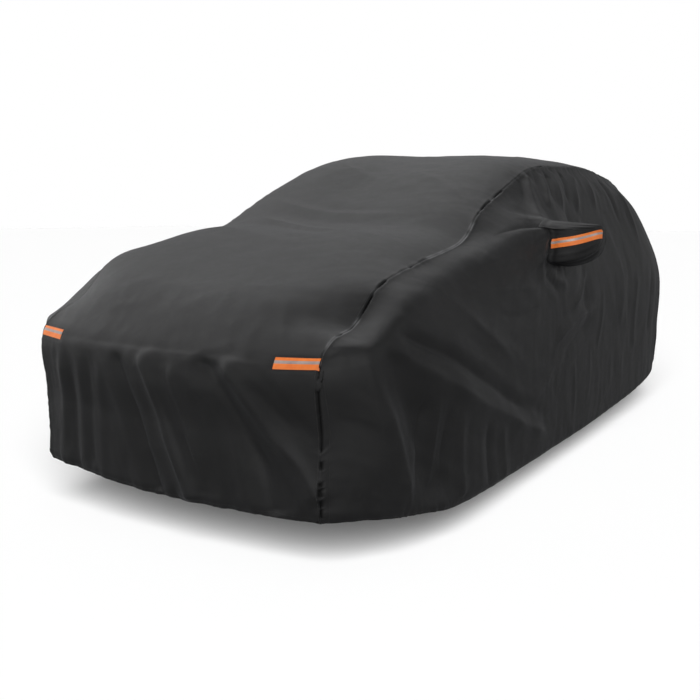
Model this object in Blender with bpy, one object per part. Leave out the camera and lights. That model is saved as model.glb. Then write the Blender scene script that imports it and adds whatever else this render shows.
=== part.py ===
"""Fitted car cover, pulled over a high-roofed hatchback: one centre panel from the front hem over
the bonnet, windscreen and roof to the rear hem, a side panel each side, an ear-shaped mirror
pocket sewn into each side panel, and four reflective strips. The cloth is a 2.5 mm sheet and the
cover is hollow. Metres, +Z up. The front faces -Y and the right side is +X. The origin is the
underside of the roof crown, where the cover is carried."""

import bpy
import numpy as np

SHEET = 0.0025  # cloth thickness
GAP = 0.0003  # between pieces that are sewn together
TAPE = 0.0010  # thickness of a reflective strip
TAPE_OFF = 0.0005  # how far a strip stands off the cloth
CENTRE_CELLS = 16  # across the centre panel
TIP_RINGS = 6  # rings of cloth from the root of a mirror pocket to its tip

# The line of the right seam and the centre line, from the front hem over the top to the rear hem.
# Heights are above the ground here. lift is how much higher the left seam lies, because the cloth
# is pulled down on the right. py and pz say how flat the cloth is across, in plan and in height.
# cells is the number of mesh cells to the next station; the front and rear edges use DOWN.
LINE_COLUMNS = ("station", "x", "y", "z", "lift", "y_mid", "z_mid", "py", "pz", "cells")
LINE = [
    ("front_hem",    0.720, -2.200, 0.200, 0.03, -2.250, 0.192, 2.4, 2.0, 0),
    ("front_skirt",  0.721, -2.197, 0.500, 0.01, -2.262, 0.485, 2.4, 2.0, 0),
    ("front_corner", 0.722, -2.191, 0.799, 0.02, -2.250, 0.787, 2.6, 2.4, 2),
    ("nose_edge",    0.722, -2.132, 0.850, 0.015, -2.190, 0.856, 2.8, 3.0, 2),
    ("nose_slope",   0.722, -1.995, 0.885, 0.035, -2.075, 0.960, 3.6, 4.2, 2),
    ("bonnet_front", 0.722, -1.820, 1.015, 0.060, -1.900, 1.042, 3.0, 4.0, 4),
    ("bonnet_mid",   0.722, -1.480, 1.100, 0.05, -1.480, 1.185, 3.0, 4.0, 4),
    ("cowl",         0.703, -1.010, 1.195, 0.04, -1.070, 1.262, 3.0, 4.0, 2),
    ("glass_low",    0.675, -0.860, 1.270, 0.05, -0.880, 1.340, 3.0, 4.0, 4),
    ("glass_high",   0.625, -0.380, 1.430, 0.09, -0.440, 1.520, 3.0, 4.0, 3),
    ("roof_front",   0.600, -0.040, 1.525, 0.06, -0.120, 1.600, 3.0, 4.0, 4),
    ("roof_top",     0.590,  0.500, 1.567, 0.00,  0.450, 1.638, 3.0, 3.2, 4),
    ("roof_rear",    0.585,  1.250, 1.545, 0.00,  1.250, 1.615, 3.0, 3.6, 3),
    ("spoiler",      0.590,  1.690, 1.450, 0.00,  1.740, 1.530, 3.0, 3.6, 2),
    ("rear_glass",   0.635,  1.930, 1.170, 0.00,  2.020, 1.210, 3.0, 3.6, 2),
    ("tail_edge",    0.660,  2.060, 0.900, 0.00,  2.150, 0.930, 2.6, 2.6, 0),
    ("rear_skirt",   0.665,  2.110, 0.550, 0.00,  2.180, 0.550, 2.4, 2.0, 0),
    ("rear_hem",     0.660,  2.100, 0.210, 0.00,  2.155, 0.190, 2.4, 2.0, 0),
]

# The side panel, a row for each column of cloth that hangs from the seam at "station" + "past":
# upper is beside the glass, shoulder is the widest part, then the skirt and the hem.
SIDE_COLUMNS = ("row", "station", "past", "upper", "shoulder", "skirt", "hem")
SIDE = [
    ("front_seam",   "front_corner", 0.00, (0.722, -2.194, 0.640), (0.721, -2.197, 0.500), (0.720, -2.199, 0.340), (0.720, -2.200, 0.200)),
    ("corner",       "front_corner", 0.08, (0.785, -2.125, 0.775), (0.812, -2.098, 0.610), (0.816, -2.095, 0.380), (0.814, -2.085, 0.195)),
    ("wing_fold",    "nose_edge",    0.13, (0.862, -2.030, 0.835), (0.888, -2.000, 0.680), (0.903, -1.915, 0.400), (0.910, -1.845, 0.165)),
    ("wheel_front",  "bonnet_front", 0.05, (0.865, -1.740, 0.960), (0.925, -1.680, 0.800), (0.945, -1.600, 0.450), (0.955, -1.550, 0.130)),
    ("wheel_rear",   "bonnet_mid",   0.15, (0.855, -1.230, 1.050), (0.930, -1.150, 0.870), (0.945, -1.080, 0.480), (0.950, -1.050, 0.115)),
    ("mirror_front", "glass_low",    0.00, (0.886, -0.510, 1.205), (0.925, -0.620, 0.970), (0.940, -0.580, 0.500), (0.945, -0.560, 0.115)),
    ("mirror_rear",  "glass_high",   0.00, (0.872, -0.210, 1.200), (0.922, -0.250, 0.980), (0.940, -0.260, 0.500), (0.943, -0.240, 0.115)),
    ("front_door",   "roof_front",   0.16, (0.760,  0.160, 1.335), (0.902,  0.170, 1.000), (0.938,  0.180, 0.500), (0.940,  0.190, 0.120)),
    ("rear_door",    "roof_top",     0.30, (0.765,  0.800, 1.350), (0.912,  0.800, 1.000), (0.938,  0.800, 0.500), (0.935,  0.800, 0.138)),
    ("wheel_back",   "roof_rear",    0.15, (0.800,  1.390, 1.300), (0.922,  1.440, 0.970), (0.930,  1.450, 0.500), (0.915,  1.440, 0.165)),
    ("rear_corner",  "rear_glass",  -0.05, (0.775,  1.850, 1.050), (0.835,  1.850, 0.860), (0.850,  1.860, 0.500), (0.840,  1.850, 0.190)),
    ("rear_seam",    "tail_edge",    0.00, (0.662,  2.085, 0.720), (0.665,  2.108, 0.550), (0.664,  2.108, 0.370), (0.660,  2.100, 0.210)),
]
SIDE_LEVELS = (0.0, 0.26, 0.46, 0.76, 1.0)  # how far down the seam, upper, shoulder, skirt and hem are
DOWN = (0.0, 0.078, 0.195, 0.245, 0.298, 0.343, 0.415, 0.480, 0.580, 0.700, 0.820, 0.920, 1.0)  # mesh rows, seam to hem

# The mirror pocket is sewn into a hole of the side panel's mesh.
HOLE_FROM, HOLE_TO = "glass_low", "glass_high"  # stations at the front and rear of the hole
HOLE_TOP, HOLE_BOTTOM = 2, 6  # rows of DOWN
HOLE_ROUND = (0.12, 0.26)  # how far its top and bottom corners are drawn in
POCKET_TIP = (1.108, -0.285, 1.198)  # the outermost point of the right pocket
POCKET_BULGE = (0.030, -0.030, -0.012)  # how far the middle of the pocket swells out and forwards
POCKET_FALL = 0.48  # how far its top edge comes down towards the tip
MIRROR_STRIP_ROWS = (4, 5)  # rows of DOWN that the strip continues on the pocket's front
MIRROR_STRIP_RINGS = (0, 6)

# Reflective strips on the nose, as columns of the centre panel: the right one ends at the right
# seam, and the left one, of which less is seen, at the left seam. Both are the top row of DOWN.
STRIP_COLUMNS = {"strip_front_right": (14, 16), "strip_front_left": (0, 2)}
ACROSS = (-1.0, -0.90, -0.80, -0.68, -0.56, -0.44, -0.31, -0.19, -0.06, 0.06, 0.17, 0.28, 0.40, 0.54, 0.755, 0.88, 1.0)

# The main folds. face is the side of the cover that it lies on, and its path is drawn in that
# face's own two directions: (x, z) on the front and rear, (y, z) on the sides, (x, y) on the top.
# rise is above the cloth around it, or below if negative, and half is half its width.
FOLD_COLUMNS = ("fold", "face", "path", "rise", "half")
FOLDS = [
    ("skirt_crease_left",  "front", ((-0.57, 0.74), (-0.59, 0.48), (-0.60, 0.22)),  0.009, 0.045),
    ("skirt_trough_left",  "front", ((-0.22, 0.77), (-0.13, 0.52), (-0.03, 0.22)), -0.016, 0.045),
    ("skirt_ridge_left",   "front", ((-0.08, 0.77), (0.03, 0.52), (0.14, 0.22)),    0.020, 0.050),
    ("skirt_trough_mid",   "front", ((0.21, 0.78), (0.42, 0.51), (0.52, 0.22)),    -0.024, 0.060),
    ("skirt_ridge_right",  "front", ((0.33, 0.74), (0.52, 0.51), (0.71, 0.26)),     0.020, 0.060),
    ("wing_edge",          "right", ((-2.08, 0.89), (-2.09, 0.66), (-1.94, 0.18)),  0.020, 0.060),
    ("wing_hollow",        "right", ((-1.96, 0.86), (-1.92, 0.60), (-1.74, 0.20)), -0.020, 0.075),
    ("long_crease",        "right", ((-1.99, 0.84), (-1.52, 0.61), (-0.55, 0.22)),  0.018, 0.055),
    ("under_crease",       "right", ((-1.80, 0.60), (-1.36, 0.42), (-0.90, 0.20)), -0.010, 0.070),
    ("pillar_fold",        "right", ((-0.09, 1.50), (-0.50, 1.21), (-0.61, 0.92)),  0.014, 0.050),
    ("cowl_crease",        "right", ((-0.64, 0.945), (-1.10, 0.967), (-1.50, 0.955)), 0.008, 0.050),
    ("door_hollow",        "right", ((0.10, 1.42), (0.06, 1.10), (0.02, 0.60)),    -0.012, 0.080),
    ("rear_fold",          "right", ((0.62, 1.42), (0.72, 1.00), (0.70, 0.30)),     0.010, 0.070),
    ("left_front_fold",    "left",  ((-2.02, 0.82), (-1.92, 0.55), (-1.84, 0.20)),  0.016, 0.065),
    ("left_door_fold",     "left",  ((-0.90, 1.00), (-0.50, 0.62), (-0.22, 0.22)),  0.014, 0.075),
    ("left_door_hollow",   "left",  ((0.15, 1.35), (0.22, 0.85), (0.26, 0.35)),    -0.014, 0.090),
    ("left_rear_fold",     "left",  ((1.10, 1.20), (1.00, 0.75), (1.12, 0.22)),     0.014, 0.080),
    ("rear_ridge_left",    "rear",  ((-0.36, 0.86), (-0.30, 0.50), (-0.40, 0.20)),  0.018, 0.070),
    ("rear_trough",        "rear",  ((-0.06, 0.90), (0.02, 0.50), (-0.04, 0.20)),  -0.014, 0.080),
    ("rear_ridge_right",   "rear",  ((0.30, 0.86), (0.36, 0.52), (0.44, 0.20)),     0.020, 0.070),
]


def table(rows, columns, names):
    """The named columns of a table, as an array."""
    return np.array([[row[columns.index(n)] for n in names] for row in rows], float)


def cubic(at, values, where):
    """A smooth curve through rows of values at the parameters "at", read at "where"."""
    at, where = np.asarray(at, float), np.asarray(where, float)
    flat = np.asarray(values, float).reshape(len(at), -1)
    step = np.diff(at)[:, None]
    rate = np.diff(flat, axis=0) / step
    slope = np.vstack([rate[:1], (rate[:-1] * step[1:] + rate[1:] * step[:-1]) / (step[1:] + step[:-1]), rate[-1:]])
    i = np.clip(np.searchsorted(at, where, side="right") - 1, 0, len(at) - 2)
    s = ((where - at[i]) / step[i, 0])[:, None]
    value = (
        (2 * s**3 - 3 * s**2 + 1) * flat[i]
        + (s**3 - 2 * s**2 + s) * step[i] * slope[i]
        + (3 * s**2 - 2 * s**3) * flat[i + 1]
        + (s**3 - s**2) * step[i] * slope[i + 1]
    )
    return value.reshape(where.shape + np.shape(values)[1:])


LINE_VALUES = table(LINE, LINE_COLUMNS, ("x", "y", "z", "lift", "y_mid", "z_mid", "py", "pz"))
LINE_U = np.concatenate([[0], np.cumsum(np.linalg.norm(np.diff(LINE_VALUES[:, :3], axis=0), axis=1))])
STATIONS = [row[0] for row in LINE]


def u_of(station):
    return LINE_U[STATIONS.index(station)]


def line_at(u):
    return cubic(LINE_U, LINE_VALUES, u)


def seam_samples():
    """Where the mesh rows cross the seam: the front edge, the top and the rear edge."""
    down = np.array(DOWN)
    first, last = STATIONS.index("front_corner"), STATIONS.index("tail_edge")
    top = [u_of("front_corner")]
    for k in range(first, last):
        top += list(np.linspace(LINE_U[k], LINE_U[k + 1], LINE[k][-1] + 1)[1:])
    front = u_of("front_corner") * (1 - down[::-1])
    rear = u_of("tail_edge") + (LINE_U[-1] - u_of("tail_edge")) * down
    return np.concatenate([front[:-1], top, rear[1:]]), np.array(top)


def centre_grid(u, across):
    """The centre panel's points, by mesh row and column, before its folds."""
    x, y, z, lift, y_mid, z_mid, py, pz = line_at(u).T[:, :, None]
    across = np.asarray(across)[None, :]
    part = np.abs(across)
    left = np.clip(-across, 0, 1)
    return np.stack(
        [
            x * across,
            y + (y_mid - y) * (1 - part**py),
            z + (z_mid - z) * (1 - part**pz) + lift * left**2 * (3 - 2 * left),
        ],
        axis=-1,
    )


def side_grid(u, down, edge_front, edge_rear, lifted):
    """A side panel's points, by column from the front and by row from the seam, for the right side."""
    row_u = [u_of(row[1]) + row[2] for row in SIDE]
    rows = cubic(row_u, np.arange(len(SIDE), dtype=float)[:, None], u)[:, 0]
    hung = np.array([row[3:] for row in SIDE])
    hung = cubic(np.arange(len(SIDE), dtype=float), hung, rows)
    seam = line_at(u)
    top = seam[:, :3].copy()
    if lifted:
        top[:, 2] += seam[:, 3]
        hung[:, 0, 2] += 0.5 * seam[:, 3] * np.clip((u - u_of("nose_slope")) / 0.3, 0, 1)
    levels = np.concatenate([top[:, None], hung], axis=1).transpose(1, 0, 2)
    points = cubic(SIDE_LEVELS, levels, down).transpose(1, 0, 2).copy()
    points[:, 0] = top
    points[0], points[-1] = edge_front, edge_rear
    return points


def quad_normals(points, quads):
    a, b, c, d = (points[quads[:, k]] for k in range(4))
    return np.cross(c - a, d - b)


def vertex_normals(points, quads):
    total = np.zeros_like(points)
    faces = quad_normals(points, quads)
    for k in range(4):
        np.add.at(total, quads[:, k], faces)
    return total / np.maximum(np.linalg.norm(total, axis=1), 1e-12)[:, None]


def cells(ids):
    """The quads of a grid of vertex numbers."""
    return np.stack([ids[:-1, :-1], ids[1:, :-1], ids[1:, 1:], ids[:-1, 1:]], axis=-1)


def fold_rise(points, normals):
    """How far each point of the cloth stands off its smooth form."""
    rise = np.zeros(len(points))
    for _, face, path, height, half in FOLDS:
        axes = {"front": (0, 2), "rear": (0, 2), "right": (1, 2), "left": (1, 2), "top": (0, 1)}[face]
        facing = {"front": -normals[:, 1], "rear": normals[:, 1], "right": normals[:, 0], "left": -normals[:, 0], "top": normals[:, 2]}[face]
        weight = np.clip(facing * 1.6, 0, 1)
        at = points[:, axes]
        path = np.array(path)
        lengths = np.linalg.norm(np.diff(path, axis=0), axis=1)
        best, along = np.full(len(at), 1e9), np.zeros(len(at))
        for k in range(len(path) - 1):
            leg = path[k + 1] - path[k]
            share = np.clip((at - path[k]) @ leg / (leg @ leg), 0, 1)
            away = np.linalg.norm(at - path[k] - share[:, None] * leg, axis=1)
            nearer = away < best
            best = np.where(nearer, away, best)
            along = np.where(nearer, (lengths[:k].sum() + share * lengths[k]) / lengths.sum(), along)
        taper = np.clip(along / 0.25, 0, 1)
        taper = taper * taper * (3 - 2 * taper)
        if path[-1][1] > 0.35 or face == "top":
            end = np.clip((1 - along) / 0.3, 0, 1)
            taper = taper * end * end * (3 - 2 * end)
        else:  # the elastic in the hem draws a fold in
            taper = taper * (0.35 + 0.65 * np.clip((1 - along) / 0.3, 0, 1))
        rise += height * weight * taper * np.exp(-((best / half) ** 2))
    return rise


def triangles(quads):
    return np.concatenate([quads[:, [0, 1, 2]], quads[:, [0, 2, 3]]])


def sheet_mesh(outer, inner, quads):
    """A closed sheet between two surfaces that share their quads, with a rim round every free edge."""
    used, compact = np.unique(quads, return_inverse=True)
    quads = compact.reshape(quads.shape)
    outer, inner = outer[used], inner[used]
    n = len(used)
    tris = triangles(quads)
    ends = np.concatenate([quads[:, [k, (k + 1) % 4]] for k in range(4)])
    known = {tuple(e) for e in ends.tolist()}
    rim = np.array([e for e in ends.tolist() if (e[1], e[0]) not in known])
    a, b = rim[:, 0], rim[:, 1]
    walls = np.concatenate([np.stack([a, a + n, b + n], 1), np.stack([a, b + n, b], 1)])
    return np.concatenate([outer, inner]), np.concatenate([tris, tris[:, ::-1] + n, walls])


def make_object(name, points, faces, material):
    mesh = bpy.data.meshes.new(name)
    mesh.from_pydata([tuple(p) for p in points], [], [tuple(int(i) for i in f) for f in faces])
    mesh.update()
    mesh.shade_smooth()
    mesh.set_sharp_from_angle(angle=0.7)
    obj = bpy.data.objects.new(name, mesh)
    obj.data.materials.append(material)
    bpy.context.scene.collection.objects.link(obj)
    return obj


def make_material(name, colour, roughness, metallic=0.0):
    material = bpy.data.materials.new(name)
    material.use_nodes = True
    shader = material.node_tree.nodes["Principled BSDF"]
    shader.inputs["Base Color"].default_value = (*colour, 1.0)
    shader.inputs["Roughness"].default_value = roughness
    shader.inputs["Metallic"].default_value = metallic
    material.diffuse_color = (*colour, 1.0)
    return material


def pocket_grid(loop, inward, normals, side):
    """A pocket's points, by ring from its collar to its tip and round the hole's loop."""
    sign = np.array([side, 1, 1])
    middle = loop.mean(axis=0)
    tip = np.array(POCKET_TIP) * sign
    bulge = np.array(POCKET_BULGE) * sign
    root = loop + GAP * inward
    rings = [root - SHEET * normals, root + 0.004 * normals]
    for k in range(1, TIP_RINGS + 1):
        part = k / (TIP_RINGS + 0.35)
        travel = np.sin(part * np.pi / 2) ** 1.15
        size = (1 - part**2.6) ** 0.5
        centre = middle + (tip - middle) * travel + bulge * 4 * travel * (1 - travel)
        flat = np.array([1 - travel, size * (1 - 0.45 * travel), size])
        ring = (root - middle) * flat
        ring[:, 2] *= np.where(ring[:, 2] > 0, 1 - POCKET_FALL * travel, 1)
        rings.append(centre + ring)
    return np.array(rings), tip


def build():
    for obj in list(bpy.data.objects):
        bpy.data.objects.remove(obj, do_unlink=True)

    cloth = make_material("cover_cloth", (0.028, 0.028, 0.030), 0.62)
    cloth_left = make_material("cover_cloth_left", (0.026, 0.026, 0.028), 0.62)
    cloth_right = make_material("cover_cloth_right", (0.025, 0.025, 0.027), 0.62)
    cloth_pocket = make_material("pocket_cloth", (0.022, 0.022, 0.024), 0.62)
    tape = make_material("reflective_strip", (0.85, 0.22, 0.04), 0.42)

    u, u_top = seam_samples()
    down = np.array(DOWN)
    last_down = len(down) - 1
    rows, columns = len(u), CENTRE_CELLS + 1

    # One numbering for the whole cover, so that pieces sewn together share a seam and its normals.
    centre_ids = np.arange(rows * columns).reshape(rows, columns)
    points = [centre_grid(u, ACROSS).reshape(-1, 3)]
    count = rows * columns
    side_ids = {}
    for side, column in ((1, columns - 1), (-1, 0)):
        edge = centre_ids[:, column]
        seam = points[0][edge] * np.array([side, 1, 1])
        grid = side_grid(u_top, down, seam[: last_down + 1][::-1], seam[-last_down - 1 :], side < 0)
        ids = np.full(grid.shape[:2], -1)
        ids[0], ids[-1] = edge[: last_down + 1][::-1], edge[-last_down - 1 :]
        ids[:, 0] = edge[last_down : last_down + len(u_top)]
        free = ids < 0
        ids[free] = count + np.arange(free.sum())
        count += free.sum()
        points.append((grid * np.array([side, 1, 1]))[free])
        side_ids[side] = ids
    points = np.concatenate(points)

    start = int(np.argmin(np.abs(u_top - u_of(HOLE_FROM))))
    stop = int(np.argmin(np.abs(u_top - u_of(HOLE_TO))))
    for ids in side_ids.values():
        middle = points[ids[start : stop + 1, HOLE_TOP : HOLE_BOTTOM + 1]].mean(axis=(0, 1))
        for i in (start, stop):
            for j, drawn in zip((HOLE_TOP, HOLE_BOTTOM), HOLE_ROUND):
                points[ids[i, j]] += drawn * (middle - points[ids[i, j]])

    centre_quads = cells(centre_ids)[:, :, ::-1].reshape(-1, 4)
    side_quads, hole_quads = {}, {}
    for side, ids in side_ids.items():
        quads = cells(ids)
        hole = np.zeros(quads.shape[:2], bool)
        hole[start:stop, HOLE_TOP:HOLE_BOTTOM] = True
        quads = quads if side < 0 else quads[:, :, ::-1]
        side_quads[side], hole_quads[side] = quads[~hole], quads[hole]
    everything = np.concatenate([centre_quads, *side_quads.values(), *hole_quads.values()])

    normals = vertex_normals(points, everything)
    if normals[centre_ids[rows // 2, columns // 2], 2] < 0:
        everything, centre_quads = everything[:, ::-1], centre_quads[:, ::-1]
        side_quads = {side: quads[:, ::-1] for side, quads in side_quads.items()}
        normals = -normals
    points = points + normals * fold_rise(points, normals)[:, None]
    normals = vertex_normals(points, everything)

    # The carried point is the underside of the roof crown, and it is the origin.
    crown = centre_ids[last_down + int(np.argmin(np.abs(u_top - u_of("roof_top")))), :]
    middle = (points[crown] - SHEET * normals[crown])[columns // 2 - 1 : columns // 2 + 2]
    origin = np.array([0.0, middle[:, 1].mean(), middle[:, 2].mean()])
    points = points - origin

    # In the cloth, square to each seam: from the centre panel towards the side panel.
    across_seam = {}
    for side, column in ((1, columns - 1), (-1, 0)):
        edge = centre_ids[:, column]
        along = np.gradient(points[edge], axis=0)
        square = np.cross(along, normals[edge])
        square /= np.linalg.norm(square, axis=1)[:, None]
        towards = points[edge] - points[centre_ids[:, columns - 2 if side > 0 else 1]]
        square *= np.sign((square * towards).sum(axis=1))[:, None]
        across_seam[side] = (edge, square)

    def moved(piece):
        """The points with the seams drawn back by half a gap into one piece."""
        result = points.copy()
        for side, (edge, square) in across_seam.items():
            if piece == "centre":
                result[edge] -= square * GAP / 2
            elif piece == side:
                result[edge] += square * GAP / 2
        return result

    own = moved("centre")
    make_object("centre_panel", *sheet_mesh(own, own - SHEET * normals, centre_quads), cloth)

    for name, (first, stop_column) in STRIP_COLUMNS.items():
        block = cells(centre_ids[last_down - 1 : last_down + 1, first : stop_column + 1])[:, :, ::-1].reshape(-1, 4)
        if (quad_normals(points, block) * normals[block[:, 0]]).sum() < 0:
            block = block[:, ::-1]
        make_object(name, *sheet_mesh(own + (TAPE_OFF + TAPE) * normals, own + TAPE_OFF * normals, block), tape)

    for side, suffix in ((1, "right"), (-1, "left")):
        own = moved(side)
        make_object("side_panel_" + suffix, *sheet_mesh(own, own - SHEET * normals, side_quads[side]), cloth_right if side > 0 else cloth_left)

        ids = side_ids[side]
        loop_ids = np.concatenate(
            [
                ids[start, HOLE_TOP:HOLE_BOTTOM],
                ids[start:stop, HOLE_BOTTOM],
                ids[stop, HOLE_BOTTOM:HOLE_TOP:-1],
                ids[stop:start:-1, HOLE_TOP],
            ]
        )
        loop, out = points[loop_ids], normals[loop_ids]
        edge = np.cross(np.roll(loop, -1, axis=0) - loop, out)
        edge /= np.linalg.norm(edge, axis=1)[:, None]
        edge *= np.sign((edge * (loop.mean(axis=0) - loop)).sum())
        before = np.roll(edge, 1, axis=0)
        inward = (edge + before) / (1 + (edge * before).sum(axis=1))[:, None]
        tip_shift = np.array([0, origin[1], origin[2]])
        grid, tip = pocket_grid(loop + tip_shift, inward, out, side)
        grid, tip = grid - tip_shift, tip - tip_shift
        ring_count, around = grid.shape[:2]
        ring_ids = np.arange(ring_count * around).reshape(ring_count, around)
        closed = np.concatenate([ring_ids, ring_ids[:, :1]], axis=1)
        quads = cells(closed).reshape(-1, 4)
        last = ring_ids[-1]
        outer = np.concatenate([grid.reshape(-1, 3), [tip]])
        fan = np.array([[last[k], last[k], len(outer) - 1, last[(k + 1) % around]] for k in range(around)])
        every = np.concatenate([quads, fan])
        turned = vertex_normals(outer, every)
        if (turned[ring_ids[2:-1]] * (outer[ring_ids[2:-1]] - loop.mean(axis=0))).sum() < 0:
            quads, turned = quads[:, ::-1], -turned
            fan = fan[:, [0, 3, 2, 1]]
        turned[ring_ids[:2]] = -inward
        inner = outer - SHEET * turned
        n = len(outer)
        caps = np.array([[f[0], f[1], f[2]] if f[0] != f[1] else [f[0], f[2], f[3]] for f in fan])
        tris = np.concatenate([triangles(quads), caps])
        ends = np.concatenate([tris[:, [0, 1]], tris[:, [1, 2]], tris[:, [2, 0]]])
        known = {tuple(e) for e in ends.tolist()}
        rim = np.array([e for e in ends.tolist() if (e[1], e[0]) not in known])
        a, b = rim[:, 0], rim[:, 1]
        walls = np.concatenate([np.stack([a, a + n, b + n], 1), np.stack([a, b + n, b], 1)])
        make_object("mirror_pocket_" + suffix, np.concatenate([outer, inner]), np.concatenate([tris, tris[:, ::-1] + n, walls]), cloth_pocket)

        first_row, last_row = (row - HOLE_TOP for row in MIRROR_STRIP_ROWS)
        low, high = (ring + 1 for ring in MIRROR_STRIP_RINGS)
        block = cells(ring_ids[low : high + 1, first_row : last_row + 1]).reshape(-1, 4)
        if (quad_normals(outer, block) * turned[block[:, 0]]).sum() < 0:
            block = block[:, ::-1]
        make_object("strip_mirror_" + suffix, *sheet_mesh(outer + (TAPE_OFF + TAPE) * turned, outer + TAPE_OFF * turned, block), tape)
    return origin


CARRIED_AT = build()  # the origin, from the ground below the middle of the cover
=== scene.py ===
"""Looks of the fitted car cover: its cloth panels with their folds, seams, hem, mirror pockets and
reflective strips, a pale floor, soft light and the camera. Metres, in the part's frame."""

import math

import bpy
import numpy as np
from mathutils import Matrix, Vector


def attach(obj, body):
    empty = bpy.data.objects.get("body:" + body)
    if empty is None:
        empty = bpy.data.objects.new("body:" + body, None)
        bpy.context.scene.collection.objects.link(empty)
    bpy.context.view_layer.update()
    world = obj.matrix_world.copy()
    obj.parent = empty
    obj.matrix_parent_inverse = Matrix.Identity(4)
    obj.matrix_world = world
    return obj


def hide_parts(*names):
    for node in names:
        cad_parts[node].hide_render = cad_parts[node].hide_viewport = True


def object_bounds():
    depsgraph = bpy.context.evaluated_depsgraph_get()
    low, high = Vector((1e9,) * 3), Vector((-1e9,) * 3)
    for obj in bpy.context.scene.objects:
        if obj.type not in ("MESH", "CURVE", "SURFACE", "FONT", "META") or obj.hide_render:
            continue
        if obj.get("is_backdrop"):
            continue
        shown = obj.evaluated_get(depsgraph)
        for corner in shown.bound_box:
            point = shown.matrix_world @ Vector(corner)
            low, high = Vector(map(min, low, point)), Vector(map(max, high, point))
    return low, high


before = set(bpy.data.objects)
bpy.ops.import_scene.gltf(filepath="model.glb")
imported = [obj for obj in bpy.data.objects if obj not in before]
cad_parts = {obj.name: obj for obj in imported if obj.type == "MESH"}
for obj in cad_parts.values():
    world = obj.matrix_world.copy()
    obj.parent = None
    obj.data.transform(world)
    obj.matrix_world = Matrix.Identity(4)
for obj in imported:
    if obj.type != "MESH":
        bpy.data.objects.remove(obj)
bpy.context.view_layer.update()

# ------------------------------------------------------------------ sizes
CARRIED_AT = np.array([0.0, 0.45017157, 1.63537828])  # the part's origin, from the ground below it
SHEET = 0.0025
GAP = 0.0003

LINE_COLUMNS = ("station", "x", "y", "z", "lift", "y_mid", "z_mid", "py", "pz", "cells")
LINE = [
    ("front_hem",    0.720, -2.200, 0.200, 0.03, -2.250, 0.192, 2.4, 2.0, 0),
    ("front_skirt",  0.721, -2.197, 0.500, 0.01, -2.262, 0.485, 2.4, 2.0, 0),
    ("front_corner", 0.722, -2.191, 0.799, 0.02, -2.250, 0.787, 2.6, 2.4, 14),
    ("nose_edge",    0.722, -2.132, 0.850, 0.015, -2.190, 0.856, 2.8, 3.0, 24),
    ("nose_slope",   0.722, -1.995, 0.885, 0.035, -2.075, 0.960, 3.6, 4.2, 30),
    ("bonnet_front", 0.722, -1.820, 1.015, 0.060, -1.900, 1.042, 3.0, 4.0, 32),
    ("bonnet_mid",   0.722, -1.480, 1.100, 0.05, -1.480, 1.185, 3.0, 4.0, 44),
    ("cowl",         0.703, -1.010, 1.195, 0.04, -1.070, 1.262, 3.0, 4.0, 16),
    ("glass_low",    0.675, -0.860, 1.270, 0.05, -0.880, 1.340, 3.0, 4.0, 48),
    ("glass_high",   0.625, -0.380, 1.430, 0.09, -0.440, 1.520, 3.0, 4.0, 32),
    ("roof_front",   0.600, -0.040, 1.525, 0.06, -0.120, 1.600, 3.0, 4.0, 44),
    ("roof_top",     0.590,  0.500, 1.567, 0.00,  0.450, 1.638, 3.0, 3.2, 56),
    ("roof_rear",    0.585,  1.250, 1.545, 0.00,  1.250, 1.615, 3.0, 3.6, 34),
    ("spoiler",      0.590,  1.690, 1.450, 0.00,  1.740, 1.530, 3.0, 3.6, 28),
    ("rear_glass",   0.635,  1.930, 1.170, 0.00,  2.020, 1.210, 3.0, 3.6, 24),
    ("tail_edge",    0.660,  2.060, 0.900, 0.00,  2.150, 0.930, 2.6, 2.6, 0),
    ("rear_skirt",   0.665,  2.110, 0.550, 0.00,  2.180, 0.550, 2.4, 2.0, 0),
    ("rear_hem",     0.660,  2.100, 0.210, 0.00,  2.155, 0.190, 2.4, 2.0, 0),
]
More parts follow.
